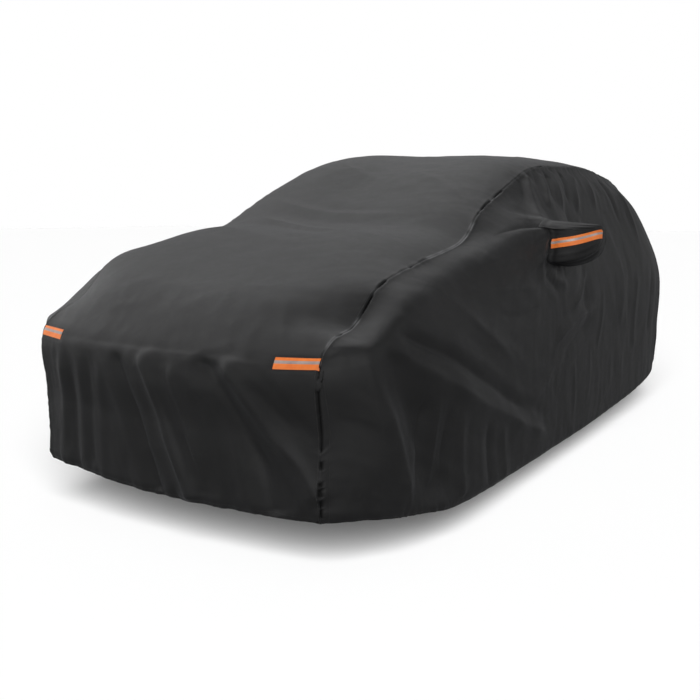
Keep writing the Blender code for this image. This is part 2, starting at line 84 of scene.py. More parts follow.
SIDE = [
    ("front_seam",   "front_corner", 0.00, (0.722, -2.194, 0.640), (0.721, -2.197, 0.500), (0.720, -2.199, 0.340), (0.720, -2.200, 0.200)),
    ("corner",       "front_corner", 0.08, (0.785, -2.125, 0.775), (0.812, -2.098, 0.610), (0.816, -2.095, 0.380), (0.814, -2.085, 0.195)),
    ("wing_fold",    "nose_edge",    0.13, (0.862, -2.030, 0.835), (0.888, -2.000, 0.680), (0.903, -1.915, 0.400), (0.910, -1.845, 0.165)),
    ("wheel_front",  "bonnet_front", 0.05, (0.865, -1.740, 0.960), (0.925, -1.680, 0.800), (0.945, -1.600, 0.450), (0.955, -1.550, 0.130)),
    ("wheel_rear",   "bonnet_mid",   0.15, (0.855, -1.230, 1.050), (0.930, -1.150, 0.870), (0.945, -1.080, 0.480), (0.950, -1.050, 0.115)),
    ("mirror_front", "glass_low",    0.00, (0.886, -0.510, 1.205), (0.925, -0.620, 0.970), (0.940, -0.580, 0.500), (0.945, -0.560, 0.115)),
    ("mirror_rear",  "glass_high",   0.00, (0.872, -0.210, 1.200), (0.922, -0.250, 0.980), (0.940, -0.260, 0.500), (0.943, -0.240, 0.115)),
    ("front_door",   "roof_front",   0.16, (0.760,  0.160, 1.335), (0.902,  0.170, 1.000), (0.938,  0.180, 0.500), (0.940,  0.190, 0.120)),
    ("rear_door",    "roof_top",     0.30, (0.765,  0.800, 1.350), (0.912,  0.800, 1.000), (0.938,  0.800, 0.500), (0.935,  0.800, 0.138)),
    ("wheel_back",   "roof_rear",    0.15, (0.800,  1.390, 1.300), (0.922,  1.440, 0.970), (0.930,  1.450, 0.500), (0.915,  1.440, 0.165)),
    ("rear_corner",  "rear_glass",  -0.05, (0.775,  1.850, 1.050), (0.835,  1.850, 0.860), (0.850,  1.860, 0.500), (0.840,  1.850, 0.190)),
    ("rear_seam",    "tail_edge",    0.00, (0.662,  2.085, 0.720), (0.665,  2.108, 0.550), (0.664,  2.108, 0.370), (0.660,  2.100, 0.210)),
]
SIDE_LEVELS = (0.0, 0.26, 0.46, 0.76, 1.0)
DOWN_KNOTS, DOWN_CELLS = (0.0, 0.004, 0.012, 0.078, 0.195, 0.415, 0.82, 0.94, 1.0), (2, 2, 10, 16, 36, 64, 26, 16)
ACROSS_KNOTS, ACROSS_CELLS = (-1.0, -0.994, -0.98, -0.80, 0.755, 0.98, 0.994, 1.0), (2, 2, 14, 88, 18, 2, 2)
STRIP_TOP = 0.078  # share of the front edge that a front strip covers
STRIP_SPANS = {"strip_front_right": (0.755, 1.0), "strip_front_left": (-1.0, -0.80)}

HOLE_FROM, HOLE_TO = "glass_low", "glass_high"
HOLE_DOWN = (0.195, 0.415)
HOLE_POWER = (4.0, 2.4)  # how square the hole's top and bottom corners are
POCKET_TIP = (1.108, -0.285, 1.198)
POCKET_BULGE = (0.030, -0.030, -0.012)
POCKET_FALL = 0.48  # how far its top edge comes down towards the tip
TIP_RINGS = 6
POCKET_STRIP = (0.298, 0.343)  # the heights on the pocket's front, as shares of the way down
POCKET_STRIP_WIDTH = (0.050, 0.044)  # of the tape there, at its root and at its tip
POCKET_STRIP_RISE = 0.014  # how far the tape bows up between its ends

# Folds: the face they lie on, their path in that face's own two directions (x, z on the front and
# rear, y, z on the sides, x, y on the top, heights from the ground), their rise, half their width
# on either side of the path, and how far their start and end fade out, as shares of their length.
FOLDS = [
    # the front skirt, under the edge of the nose
    ("front", ((-0.56, 0.76), (-0.58, 0.48), (-0.60, 0.20)), 0.007, 0.026, 0.034, 0.20, 0.05),
    ("front", ((-0.50, 0.74), (-0.51, 0.50), (-0.51, 0.22)), -0.006, 0.022, 0.022, 0.30, 0.05),
    ("front", ((-0.424, 0.76), (-0.455, 0.52), (-0.474, 0.24)), 0.005, 0.018, 0.024, 0.18, 0.10),
    ("front", ((-0.37, 0.74), (-0.395, 0.48), (-0.40, 0.24)), -0.005, 0.018, 0.020, 0.30, 0.10),
    ("front", ((-0.297, 0.76), (-0.328, 0.50), (-0.334, 0.22)), 0.004, 0.018, 0.026, 0.20, 0.10),
    ("front", ((-0.222, 0.77), (-0.160, 0.63), (-0.105, 0.46), (-0.042, 0.28), (-0.02, 0.20)), -0.017, 0.026, 0.032, 0.10, 0.05),
    ("front", ((-0.085, 0.78), (0.000, 0.62), (0.060, 0.42), (0.132, 0.25), (0.150, 0.19)), 0.019, 0.042, 0.028, 0.10, 0.05),
    ("front", ((0.005, 0.68), (0.047, 0.55), (0.100, 0.43), (0.165, 0.26)), -0.009, 0.020, 0.016, 0.25, 0.15),
    ("front", ((0.075, 0.76), (0.124, 0.59), (0.165, 0.45), (0.230, 0.28)), 0.014, 0.028, 0.024, 0.15, 0.25),
    ("front", ((0.110, 0.52), (0.165, 0.38), (0.210, 0.22)), -0.006, 0.018, 0.018, 0.30, 0.10),
    ("front", ((0.200, 0.79), (0.340, 0.64), (0.438, 0.48), (0.512, 0.28), (0.530, 0.19)), -0.026, 0.055, 0.034, 0.08, 0.05),
    ("front", ((0.300, 0.77), (0.400, 0.67), (0.505, 0.53), (0.625, 0.42), (0.720, 0.26)), 0.022, 0.042, 0.055, 0.12, 0.08),
    ("front", ((0.44, 0.72), (0.55, 0.60), (0.66, 0.50)), -0.008, 0.030, 0.030, 0.30, 0.35),
    ("front", ((0.32, 0.58), (0.38, 0.42), (0.41, 0.22)), 0.006, 0.022, 0.030, 0.30, 0.10),
    # the break from the nose's slope to the skirt
    ("front", ((-0.66, 0.790), (-0.30, 0.772), (0.10, 0.775), (0.36, 0.765), (0.60, 0.755)), 0.009, 0.016, 0.034, 0.10, 0.20),
    # the right side
    ("right", ((-2.06, 0.88), (-2.085, 0.80), (-2.058, 0.70), (-2.005, 0.58), (-1.96, 0.455), (-1.915, 0.33), (-1.86, 0.14)), 0.029, 0.038, 0.120, 0.14, 0.26),
    ("right", ((-1.93, 0.86), (-1.90, 0.70), (-1.83, 0.50), (-1.75, 0.28), (-1.71, 0.14)), -0.026, 0.130, 0.085, 0.14, 0.18),
    ("right", ((-1.97, 0.89), (-1.75, 0.792), (-1.42, 0.650), (-1.05, 0.485), (-0.72, 0.35)), -0.012, 0.024, 0.018, 0.08, 0.25),
    ("right", ((-1.99, 0.83), (-1.80, 0.728), (-1.52, 0.598), (-1.11, 0.428), (-0.50, 0.19)), 0.020, 0.036, 0.060, 0.06, 0.15),
    ("right", ((-1.78, 0.64), (-1.82, 0.44), (-1.85, 0.26)), -0.008, 0.022, 0.020, 0.20, 0.20),
    ("right", ((-1.70, 0.62), (-1.73, 0.44), (-1.76, 0.24)), 0.009, 0.022, 0.024, 0.25, 0.15),
    ("right", ((-1.63, 0.60), (-1.66, 0.44), (-1.68, 0.20)), -0.007, 0.020, 0.022, 0.30, 0.10),
    ("right", ((-1.52, 0.54), (-1.54, 0.38), (-1.52, 0.16)), 0.008, 0.024, 0.030, 0.30, 0.05),
    ("right", ((-1.30, 0.46), (-1.28, 0.32), (-1.26, 0.14)), -0.007, 0.028, 0.028, 0.30, 0.05),
    ("right", ((-1.14, 0.40), (-1.10, 0.28), (-1.08, 0.12)), 0.006, 0.024, 0.030, 0.30, 0.05),
    ("right", ((-1.60, 1.02), (-1.45, 0.90), (-1.25, 0.78), (-0.95, 0.62)), 0.008, 0.040, 0.030, 0.25, 0.35),
    ("right", ((-0.09, 1.51), (-0.20, 1.418), (-0.30, 1.33), (-0.50, 1.21), (-0.63, 1.08), (-0.61, 0.92)), 0.016, 0.030, 0.022, 0.08, 0.25),
    ("right", ((-0.15, 1.50), (-0.27, 1.40), (-0.40, 1.30)), -0.006, 0.020, 0.020, 0.15, 0.35),
    ("right", ((0.20, 0.80), (0.03, 0.765), (-0.16, 0.735), (-0.34, 0.70), (-0.50, 0.61)), 0.014, 0.024, 0.024, 0.20, 0.30),
    ("right", ((0.12, 0.71), (-0.10, 0.655), (-0.26, 0.60), (-0.40, 0.50)), -0.009, 0.030, 0.026, 0.25, 0.30),
    ("right", ((0.10, 1.00), (0.02, 0.93), (-0.07, 0.86), (-0.20, 0.80)), 0.010, 0.022, 0.018, 0.20, 0.35),
    ("right", ((-0.60, 1.02), (-0.48, 0.95), (-0.36, 0.88)), -0.009, 0.022, 0.020, 0.15, 0.40),
    ("right", ((-0.50, 0.99), (-0.38, 0.96), (-0.22, 0.92)), 0.006, 0.018, 0.018, 0.25, 0.40),
    ("right", ((-0.42, 0.56), (-0.60, 0.47), (-0.82, 0.42)), 0.006, 0.026, 0.022, 0.30, 0.40),
    ("right", ((-0.64, 0.945), (-0.95, 0.965), (-1.27, 0.968), (-1.50, 0.955)), 0.006, 0.022, 0.030, 0.15, 0.30),
    ("right", ((-0.70, 1.08), (-0.95, 1.09), (-1.25, 1.06)), 0.006, 0.018, 0.024, 0.20, 0.35),
    ("right", ((-0.66, 0.87), (-0.90, 0.84), (-1.20, 0.87)), -0.006, 0.024, 0.024, 0.20, 0.35),
    ("right", ((0.10, 1.40), (0.06, 1.10), (0.02, 0.60)), -0.010, 0.060, 0.060, 0.20, 0.30),
    ("right", ((0.08, 1.51), (-0.02, 1.42), (-0.17, 1.31)), 0.011, 0.018, 0.022, 0.10, 0.35),
    ("right", ((0.17, 1.52), (0.08, 1.44), (-0.04, 1.33)), -0.009, 0.016, 0.018, 0.10, 0.35),
    ("right", ((0.28, 1.53), (0.16, 1.42), (0.02, 1.29)), 0.012, 0.018, 0.022, 0.10, 0.30),
    ("right", ((0.40, 1.53), (0.30, 1.44), (0.18, 1.33)), -0.008, 0.016, 0.018, 0.12, 0.40),
    ("right", ((0.58, 1.53), (0.42, 1.41), (0.27, 1.27)), 0.011, 0.018, 0.024, 0.12, 0.35),
    ("right", ((0.82, 1.53), (0.70, 1.42), (0.58, 1.28)), 0.008, 0.018, 0.022, 0.12, 0.40),
    ("right", ((1.06, 1.52), (0.98, 1.38), (0.94, 1.18)), -0.007, 0.020, 0.022, 0.12, 0.40),
    ("right", ((1.26, 1.50), (1.22, 1.34), (1.18, 1.05)), 0.008, 0.022, 0.028, 0.12, 0.40),
    ("right", ((-0.18, 0.56), (-0.15, 0.46), (-0.14, 0.34), (-0.16, 0.20)), 0.004, 0.018, 0.022, 0.25, 0.25),
    ("right", ((0.10, 0.62), (0.11, 0.46), (0.06, 0.24)), 0.004, 0.016, 0.022, 0.30, 0.30),
    ("right", ((0.34, 0.92), (0.30, 0.74), (0.22, 0.50)), 0.005, 0.020, 0.018, 0.30, 0.30),
    ("right", ((0.62, 1.26), (0.70, 1.02), (0.66, 0.60)), 0.005, 0.045, 0.055, 0.15, 0.15),
    ("right", ((1.02, 0.96), (0.96, 0.70), (0.98, 0.44)), 0.005, 0.030, 0.030, 0.20, 0.10),
    ("right", ((1.36, 0.98), (1.30, 0.72), (1.32, 0.50)), -0.005, 0.034, 0.034, 0.20, 0.10),
    ("right", ((1.62, 1.10), (1.60, 0.74), (1.66, 0.24)), 0.010, 0.036, 0.044, 0.20, 0.05),
    # the left side
    ("left", ((-2.10, 0.90), (-2.02, 0.72), (-1.92, 0.50), (-1.84, 0.16)), 0.018, 0.045, 0.045, 0.15, 0.05),
    ("left", ((-1.86, 0.86), (-1.70, 0.58), (-1.60, 0.18)), -0.012, 0.045, 0.060, 0.20, 0.05),
    ("left", ((-2.00, 0.90), (-1.50, 0.78), (-1.05, 0.60), (-0.80, 0.46)), 0.010, 0.040, 0.024, 0.20, 0.35),
    ("left", ((-1.40, 0.84), (-1.20, 0.52), (-1.16, 0.16)), 0.010, 0.030, 0.045, 0.25, 0.05),
    ("left", ((-0.92, 1.04), (-0.50, 0.62), (-0.22, 0.20)), 0.016, 0.045, 0.055, 0.20, 0.10),
    ("left", ((-0.70, 0.84), (-0.36, 0.50), (-0.16, 0.22)), -0.008, 0.030, 0.040, 0.25, 0.20),
    ("left", ((-0.12, 1.50), (-0.32, 1.36), (-0.62, 1.18), (-0.62, 0.96)), 0.012, 0.030, 0.026, 0.12, 0.35),
    ("left", ((0.15, 1.40), (0.22, 0.85), (0.26, 0.30)), -0.014, 0.070, 0.070, 0.15, 0.15),
    ("left", ((0.06, 1.06), (0.04, 0.72), (0.00, 0.30)), 0.008, 0.022, 0.030, 0.25, 0.20),
    ("left", ((0.46, 1.48), (0.44, 1.20), (0.50, 0.80)), 0.009, 0.024, 0.034, 0.15, 0.35),
    ("left", ((0.80, 1.04), (0.74, 0.66), (0.80, 0.22)), 0.008, 0.026, 0.026, 0.25, 0.10),
    ("left", ((1.10, 1.30), (1.00, 0.75), (1.12, 0.18)), 0.016, 0.055, 0.065, 0.20, 0.05),
    ("left", ((1.42, 1.02), (1.40, 0.64), (1.50, 0.22)), -0.010, 0.036, 0.036, 0.25, 0.05),
    ("left", ((1.66, 1.14), (1.66, 0.74), (1.70, 0.22)), 0.010, 0.032, 0.036, 0.20, 0.05),
    # the rear
    ("rear", ((-0.52, 0.86), (-0.54, 0.50), (-0.58, 0.18)), 0.008, 0.026, 0.030, 0.25, 0.05),
    ("rear", ((-0.36, 0.90), (-0.30, 0.50), (-0.40, 0.18)), 0.020, 0.055, 0.045, 0.20, 0.05),
    ("rear", ((-0.20, 0.84), (-0.16, 0.50), (-0.20, 0.20)), -0.008, 0.030, 0.030, 0.25, 0.10),
    ("rear", ((-0.06, 0.92), (0.02, 0.50), (-0.04, 0.18)), -0.016, 0.060, 0.060, 0.20, 0.05),
    ("rear", ((0.14, 0.90), (0.18, 0.54), (0.20, 0.20)), 0.009, 0.026, 0.036, 0.25, 0.05),
    ("rear", ((0.30, 0.90), (0.36, 0.52), (0.44, 0.18)), 0.020, 0.045, 0.055, 0.20, 0.05),
    ("rear", ((-0.40, 1.30), (-0.10, 1.22), (0.26, 1.28)), 0.007, 0.026, 0.034, 0.30, 0.30),
    ("rear", ((-0.22, 1.06), (0.10, 1.00), (0.42, 1.05)), 0.006, 0.024, 0.030, 0.30, 0.30),
    # the top: the creases at the foot of the windscreen, and the front edge of the bonnet
    ("top", ((-0.50, -1.06), (-0.15, -1.17), (0.20, -1.285), (0.46, -1.37), (0.66, -1.40)), 0.009, 0.024, 0.034, 0.15, 0.25),
    ("top", ((-0.40, -1.12), (-0.05, -1.25), (0.25, -1.35)), -0.006, 0.026, 0.034, 0.25, 0.35),
    ("top", ((-0.64, -0.82), (-0.16, -0.97), (0.23, -0.99), (0.50, -0.93)), 0.006, 0.022, 0.034, 0.25, 0.35),
    ("top", ((-0.60, -0.92), (-0.20, -1.05), (0.20, -1.10), (0.60, -1.12)), -0.004, 0.035, 0.045, 0.25, 0.35),
    ("top", ((-0.56, -1.36), (-0.20, -1.42), (0.20, -1.56)), 0.005, 0.026, 0.034, 0.25, 0.35),
    ("top", ((0.10, -0.44), (0.34, -0.58), (0.56, -0.74)), 0.005, 0.020, 0.030, 0.30, 0.25),
    ("top", ((-0.50, -0.30), (-0.26, -0.46), (0.02, -0.60)), 0.005, 0.022, 0.026, 0.30, 0.30),
    ("top", ((0.69, -1.76), (0.57, -1.88), (0.14, -1.99), (-0.25, -2.00), (-0.60, -1.96)), 0.004, 0.055, 0.070, 0.10, 0.15),
    ("top", ((-0.30, 0.60), (0.02, 0.90), (0.20, 1.30)), 0.005, 0.026, 0.034, 0.30, 0.30),
    ("top", ((0.42, 0.20), (0.30, 0.62), (0.34, 1.10)), 0.004, 0.024, 0.030, 0.30, 0.30),
]

# Where the right seam gapes into a tuck, which is also painted near black as shade: from and to along the seam, from
# the front hem, and how wide and deep it opens.
SEAM_GAPES = [
    (0.024, 0.054, 0.9), (0.066, 0.088, 0.9), (0.105, 0.134, 1.0), (0.143, 0.156, 0.9), (0.203, 0.228, 1.0),
    (0.270, 0.392, 1.0), (0.398, 0.476, 1.0), (0.520, 0.560, 0.9), (0.716, 0.744, 0.7), (0.905, 0.996, 0.9),
    (1.050, 1.105, 1.1), (1.300, 1.316, 0.5), (2.085, 2.104, 0.5), (2.150, 2.285, 1.0), (2.350, 2.460, 1.2),
    (3.060, 3.120, 0.6), (3.700, 3.780, 0.6), (4.420, 4.520, 0.7), (5.100, 5.190, 0.8), (5.500, 5.600, 0.9),
    (5.760, 5.860, 0.9),
]

# Where the edge of the right seam is painted lighter, a painted highlight as if it stood up and caught the light: from,
# to, how much.
SEAM_PAINTED_HIGHLIGHTS = [(0.66, 0.84, 0.9), (1.20, 1.34, 0.35), (1.46, 1.96, 1.0), (2.30, 2.36, 0.4)]


# ------------------------------------------------------------------ curves and noise
def table(rows, columns, names):
    return np.array([[row[columns.index(n)] for n in names] for row in rows], float)


def cubic(at, values, where):
    """A smooth curve through rows of values at the parameters "at", read at "where"."""
    at, where = np.asarray(at, float), np.asarray(where, float)
    flat = np.asarray(values, float).reshape(len(at), -1)
    step = np.diff(at)[:, None]
    rate = np.diff(flat, axis=0) / step
    slope = np.vstack([rate[:1], (rate[:-1] * step[1:] + rate[1:] * step[:-1]) / (step[1:] + step[:-1]), rate[-1:]])
    i = np.clip(np.searchsorted(at, where, side="right") - 1, 0, len(at) - 2)
    s = ((where - at[i]) / step[i, 0])[:, None]
    value = (
        (2 * s**3 - 3 * s**2 + 1) * flat[i]
        + (s**3 - 2 * s**2 + s) * step[i] * slope[i]
        + (3 * s**2 - 2 * s**3) * flat[i + 1]
        + (s**3 - s**2) * step[i] * slope[i + 1]
    )
    return value.reshape(where.shape + np.shape(values)[1:])


def ease(x):
    x = np.clip(x, 0, 1)
    return x * x * (3 - 2 * x)


def between(x, low, high, soft):
    """1 inside the range, fading out over "soft" past its ends."""
    return ease((x - low + soft) / soft) * ease((high + soft - x) / soft)


SLOPES = {}


def noise(points, seed):
    """Gradient noise, about -1 to 1, with a wavelength of about 1 to 2."""
    if seed not in SLOPES:
        g = np.random.RandomState(seed).normal(size=(32, 32, 32, 3))
        SLOPES[seed] = g / np.linalg.norm(g, axis=-1, keepdims=True)
    g = SLOPES[seed]
    points = np.asarray(points, float)
    cell = np.floor(points).astype(int)
    f = points - cell
    w = f * f * f * (f * (f * 6 - 15) + 10)
    total = np.zeros(len(points))
    for dx in (0, 1):
        for dy in (0, 1):
            for dz in (0, 1):
                grad = g[(cell[:, 0] + dx) & 31, (cell[:, 1] + dy) & 31, (cell[:, 2] + dz) & 31]
                dot = grad[:, 0] * (f[:, 0] - dx) + grad[:, 1] * (f[:, 1] - dy) + grad[:, 2] * (f[:, 2] - dz)
                weight = (
                    (w[:, 0] if dx else 1 - w[:, 0]) * (w[:, 1] if dy else 1 - w[:, 1]) * (w[:, 2] if dz else 1 - w[:, 2])
                )
                total += weight * dot
    return total * 1.7


def stacked(*columns):
    return np.stack(np.broadcast_arrays(*columns), axis=1)


def wrinkles(across, along, wave, stretch, seed, wander=0.28, crest=0.2):
    """Long ridges with a fairly sharp crest, a wavelength apart, that wander, merge and end."""
    drift = wander * wave * noise(stacked(across / (3.2 * wave), along / (0.9 * stretch * wave), 3.7), seed + 1)
    n = noise(stacked((across + drift) / wave, along / (stretch * wave), 0.5), seed)
    return 1 - 2.6 * np.sqrt(n * n + crest * crest) + 2.6 * crest * 0.6


# ------------------------------------------------------------------ the smooth form
LINE_VALUES = table(LINE, LINE_COLUMNS, ("x", "y", "z", "lift", "y_mid", "z_mid", "py", "pz"))
LINE_U = np.concatenate([[0], np.cumsum(np.linalg.norm(np.diff(LINE_VALUES[:, :3], axis=0), axis=1))])
STATIONS = [row[0] for row in LINE]


def u_of(station):
    return LINE_U[STATIONS.index(station)]


def line_at(u):
    return cubic(LINE_U, LINE_VALUES, u)


def spread(knots, counts):
    parts = [np.linspace(a, b, n + 1)[:-1] for a, b, n in zip(knots[:-1], knots[1:], counts)]
    return np.concatenate([*parts, [knots[-1]]])


def centre_grid(u, across):
    x, y, z, lift, y_mid, z_mid, py, pz = line_at(u).T[:, :, None]
    across = np.asarray(across)[None, :]
    part = np.abs(across)
    left = np.clip(-across, 0, 1)
    return np.stack(
        [
            x * across,
            y + (y_mid - y) * (1 - part**py),
            z + (z_mid - z) * (1 - part**pz) + lift * left**2 * (3 - 2 * left),
        ],
        axis=-1,
    )


def side_grid(u, down, edge_front, edge_rear, lifted):
    row_u = [u_of(row[1]) + row[2] for row in SIDE]
    rows = cubic(row_u, np.arange(len(SIDE), dtype=float)[:, None], u)[:, 0]
    hung = np.array([row[3:] for row in SIDE])
    hung = cubic(np.arange(len(SIDE), dtype=float), hung, rows)
    seam = line_at(u)
    top = seam[:, :3].copy()
    if lifted:
        top[:, 2] += seam[:, 3]
        hung[:, 0, 2] += 0.5 * seam[:, 3] * np.clip((u - u_of("nose_slope")) / 0.3, 0, 1)
    levels = np.concatenate([top[:, None], hung], axis=1).transpose(1, 0, 2)
    points = cubic(SIDE_LEVELS, levels, down).transpose(1, 0, 2).copy()
    points[:, 0] = top
    for edge, near in ((edge_front, ease(1 - (u - u[0]) / 0.16)), (edge_rear, ease(1 - (u[-1] - u) / 0.20))):
        miss = edge - points[0 if edge is edge_front else -1]
        points += near[:, None, None] * miss[None] * (np.arange(len(down)) > 0)[None, :, None]
    points[0], points[-1] = edge_front, edge_rear
    return points


def vertex_normals(points, quads):
    a, b, c, d = (points[quads[:, k]] for k in range(4))
    faces = np.cross(c - a, d - b)
    total = np.zeros_like(points)
    for axis in range(3):
        for k in range(4):
            total[:, axis] += np.bincount(quads[:, k], faces[:, axis], len(points))
    return total / np.maximum(np.linalg.norm(total, axis=1), 1e-12)[:, None]


def cells(ids):
    return np.stack([ids[:-1, :-1], ids[1:, :-1], ids[1:, 1:], ids[:-1, 1:]], axis=-1)


DOWN = spread(DOWN_KNOTS, DOWN_CELLS)
ACROSS = spread(ACROSS_KNOTS, ACROSS_CELLS)
first, last = STATIONS.index("front_corner"), STATIONS.index("tail_edge")
U_TOP = spread(LINE_U[first : last + 1], [row[-1] for row in LINE[first:last]])
U_FRONT = u_of("front_corner") * (1 - DOWN[::-1])
U_REAR = u_of("tail_edge") + (LINE_U[-1] - u_of("tail_edge")) * DOWN
U = np.concatenate([U_FRONT[:-1], U_TOP, U_REAR[1:]])
LAST_DOWN, TOPS = len(DOWN) - 1, len(U_TOP)
ROWS, COLUMNS = len(U), len(ACROSS)

centre_ids = np.arange(ROWS * COLUMNS).reshape(ROWS, COLUMNS)
points = [centre_grid(U, ACROSS).reshape(-1, 3)]
count = ROWS * COLUMNS
side_ids = {}
for side, column in ((1, COLUMNS - 1), (-1, 0)):
    edge = centre_ids[:, column]
    seam = points[0][edge] * np.array([side, 1, 1])
    grid = side_grid(U_TOP, DOWN, seam[: LAST_DOWN + 1][::-1], seam[-LAST_DOWN - 1 :], side < 0)
    ids = np.full(grid.shape[:2], -1)
    ids[0], ids[-1] = edge[: LAST_DOWN + 1][::-1], edge[-LAST_DOWN - 1 :]
    ids[:, 0] = edge[LAST_DOWN : LAST_DOWN + TOPS]
    free = ids < 0
    ids[free] = count + np.arange(free.sum())
    count += free.sum()
    points.append((grid * np.array([side, 1, 1]))[free])
    side_ids[side] = ids
P = np.concatenate(points)

start = int(np.argmin(np.abs(U_TOP - u_of(HOLE_FROM))))
stop = int(np.argmin(np.abs(U_TOP - u_of(HOLE_TO))))
hole_top = int(np.argmin(np.abs(DOWN - HOLE_DOWN[0])))
hole_bottom = int(np.argmin(np.abs(DOWN - HOLE_DOWN[1])))
hole_reach = np.zeros(count) + 9.0  # 1 on the hole's edge, growing away from it
hole_a, hole_b = np.zeros(count), np.zeros(count)
for side, ids in side_ids.items():
    a = (np.arange(ids.shape[0]) - (start + stop) / 2) / ((stop - start) / 2)
    b = (np.arange(ids.shape[1]) - (hole_top + hole_bottom) / 2) / ((hole_bottom - hole_top) / 2)
    a, b = np.broadcast_arrays(a[:, None], b[None, :])
    r = np.maximum(np.maximum(np.abs(a), np.abs(b)), 1e-6)
    power = HOLE_POWER[0] + (HOLE_POWER[1] - HOLE_POWER[0]) * ease((b + 1) / 2)
    drawn = 1 - r / np.maximum((np.abs(a) ** power + np.abs(b) ** power) ** (1 / power), 1e-6)
    weight = drawn * ease(1 - (r - 1) / 0.75)
    middle = P[ids[start : stop + 1, hole_top : hole_bottom + 1]].mean(axis=(0, 1))
    P[ids] += weight[..., None] * (middle - P[ids])
    hole_reach[ids] = r
    hole_a[ids], hole_b[ids] = a, b

centre_quads = cells(centre_ids)[:, :, ::-1].reshape(-1, 4)
side_cells, everything = {}, [centre_quads]
for side, ids in side_ids.items():
    side_cells[side] = cells(ids) if side < 0 else cells(ids)[:, :, ::-1]
    everything.append(side_cells[side].reshape(-1, 4))
everything = np.concatenate(everything)
N = vertex_normals(P, everything)
FLIPPED = N[centre_ids[ROWS // 2, COLUMNS // 2], 2] < 0
if FLIPPED:
    everything, N = everything[:, ::-1], -N

# Distances in the cloth, for each point: to the nearest seam, to the hem, and along them.
seam_d, hem_d, hem_s, seam_u = (np.zeros(count) for _ in range(4))
cloth_u, cloth_v = np.zeros(count), np.zeros(count)


def run_along(grid, axis):
    step = np.linalg.norm(np.diff(grid, axis=axis), axis=-1)
    pad = [(0, 0), (0, 0)]
    pad[axis] = (1, 0)
    return np.pad(np.cumsum(step, axis=axis), pad)


for side, ids in side_ids.items():
    way = run_along(P[ids], 1)
    hems = run_along(P[ids], 0)[:, -1]
    seam_d[ids] = way
    hem_d[ids] = way[:, -1:] - way
    hem_s[ids] = (1.0 + hems)[:, None] if side > 0 else (20.0 - hems)[:, None]
    seam_u[ids] = U_TOP[:, None]
    cloth_u[ids], cloth_v[ids] = U_TOP[:, None], way
    # towards the front and rear edges the seam is the edge itself
    edge_way = run_along(P[ids], 0)
    near = np.minimum(edge_way, edge_way[-1:] - edge_way)
    seam_d[ids] = np.minimum(seam_d[ids], near)
    low = np.arange(ids.shape[0])[:, None] < ids.shape[0] / 2
    to_edge = near < way
    front_u = U_FRONT[::-1][None, :] + 0 * way
    rear_u = U_REAR[None, :] + 0 * way
    seam_u[ids] = np.where(to_edge, np.where(low, front_u, rear_u), seam_u[ids])
centre_way = run_along(P[centre_ids], 1)
centre_run = run_along(P[centre_ids], 0)
half_way = (centre_way[:, -1:] - centre_way)
seam_keep = {side: centre_ids[:, c] for side, c in ((1, COLUMNS - 1), (-1, 0))}
seam_d[centre_ids] = np.minimum(centre_way, half_way)
hem_near = np.minimum(centre_run, centre_run[-1:] - centre_run)
hem_d[centre_ids] = hem_near
inner_cols = slice(1, COLUMNS - 1)
row_s = np.where(np.arange(ROWS)[:, None] < ROWS / 2, 1.0 - half_way[:1], 30.0 + half_way[-1:])
hem_s[centre_ids[:, inner_cols]] = row_s[:, inner_cols]
seam_u[centre_ids] = U[:, None]
cloth_u[centre_ids] = U[:, None]
cloth_v[centre_ids] = centre_way - centre_way[:, -1:] / 2
on_left = P[:, 0] < 0

# ------------------------------------------------------------------ folds
FACES = {
    "front": ((0, 2), -N[:, 1]),
    "rear": ((0, 2), N[:, 1]),
    "right": ((1, 2), N[:, 0]),
    "left": ((1, 2), -N[:, 0]),
    "top": ((0, 1), N[:, 2]),
}
facing = {name: np.clip(value * 1.6, 0, 1) for name, (_, value) in FACES.items()}


def fold_rise():
    """The listed folds."""
    total = np.zeros(count)
    wander = [0.007 * noise(P / 0.34 + 5.1 * k, 11 + k) + 0.002 * noise(P / 0.10 + 2.3 * k, 21 + k) for k in range(2)]
    swell = 1 + 0.35 * noise(P / 0.17, 31)
    under_edge = ease((0.805 - P[:, 2]) / 0.06)
    for face, path, rise, half_a, half_b, fade_in, fade_out in FOLDS:
        axes, _ = FACES[face]
        path = np.array(path, float)
        knots = np.concatenate([[0], np.cumsum(np.linalg.norm(np.diff(path, axis=0), axis=1))])
        fine_at = np.linspace(0, knots[-1], 6 * (len(path) - 1) + 1)
        fine = cubic(knots, path, fine_at)
        reach = 5 * max(half_a, half_b)
        low, high = fine.min(axis=0) - reach, fine.max(axis=0) + reach
        at = P[:, axes]
        use = np.nonzero(((at > low) & (at < high)).all(axis=1) & (facing[face] > 0))[0]
        at = at[use] + np.stack([wander[0][use], wander[1][use]], axis=1)
        best, along, signed = np.full(len(use), 1e9), np.zeros(len(use)), np.zeros(len(use))
        for k in range(len(fine) - 1):
            leg = fine[k + 1] - fine[k]
            share = np.clip((at - fine[k]) @ leg / (leg @ leg), 0, 1)
            off = at - fine[k] - share[:, None] * leg
            away = np.linalg.norm(off, axis=1)
            nearer = away < best
            best = np.where(nearer, away, best)
            along = np.where(nearer, (fine_at[k] + share * (fine_at[k + 1] - fine_at[k])) / knots[-1], along)
            signed = np.where(nearer, leg[0] * off[:, 1] - leg[1] * off[:, 0], signed)
        t = best / np.where(signed > 0, half_a, half_b)
        fade = ease(along / max(fade_in, 1e-6)) * ease((1 - along) / max(fade_out, 1e-6))
        ridge = np.exp(0.62 - np.sqrt(0.38 + 2.2 * t * t)) - 0.18 * np.exp(-(((t - 2.6) / 0.9) ** 2))
        if face == "front":  # its folds begin under the edge of the nose
            fade = fade * under_edge[use]
        total[use] += rise * facing[face][use] * fade * ridge * swell[use]
    return total


x, y, z = P.T
rise = fold_rise()

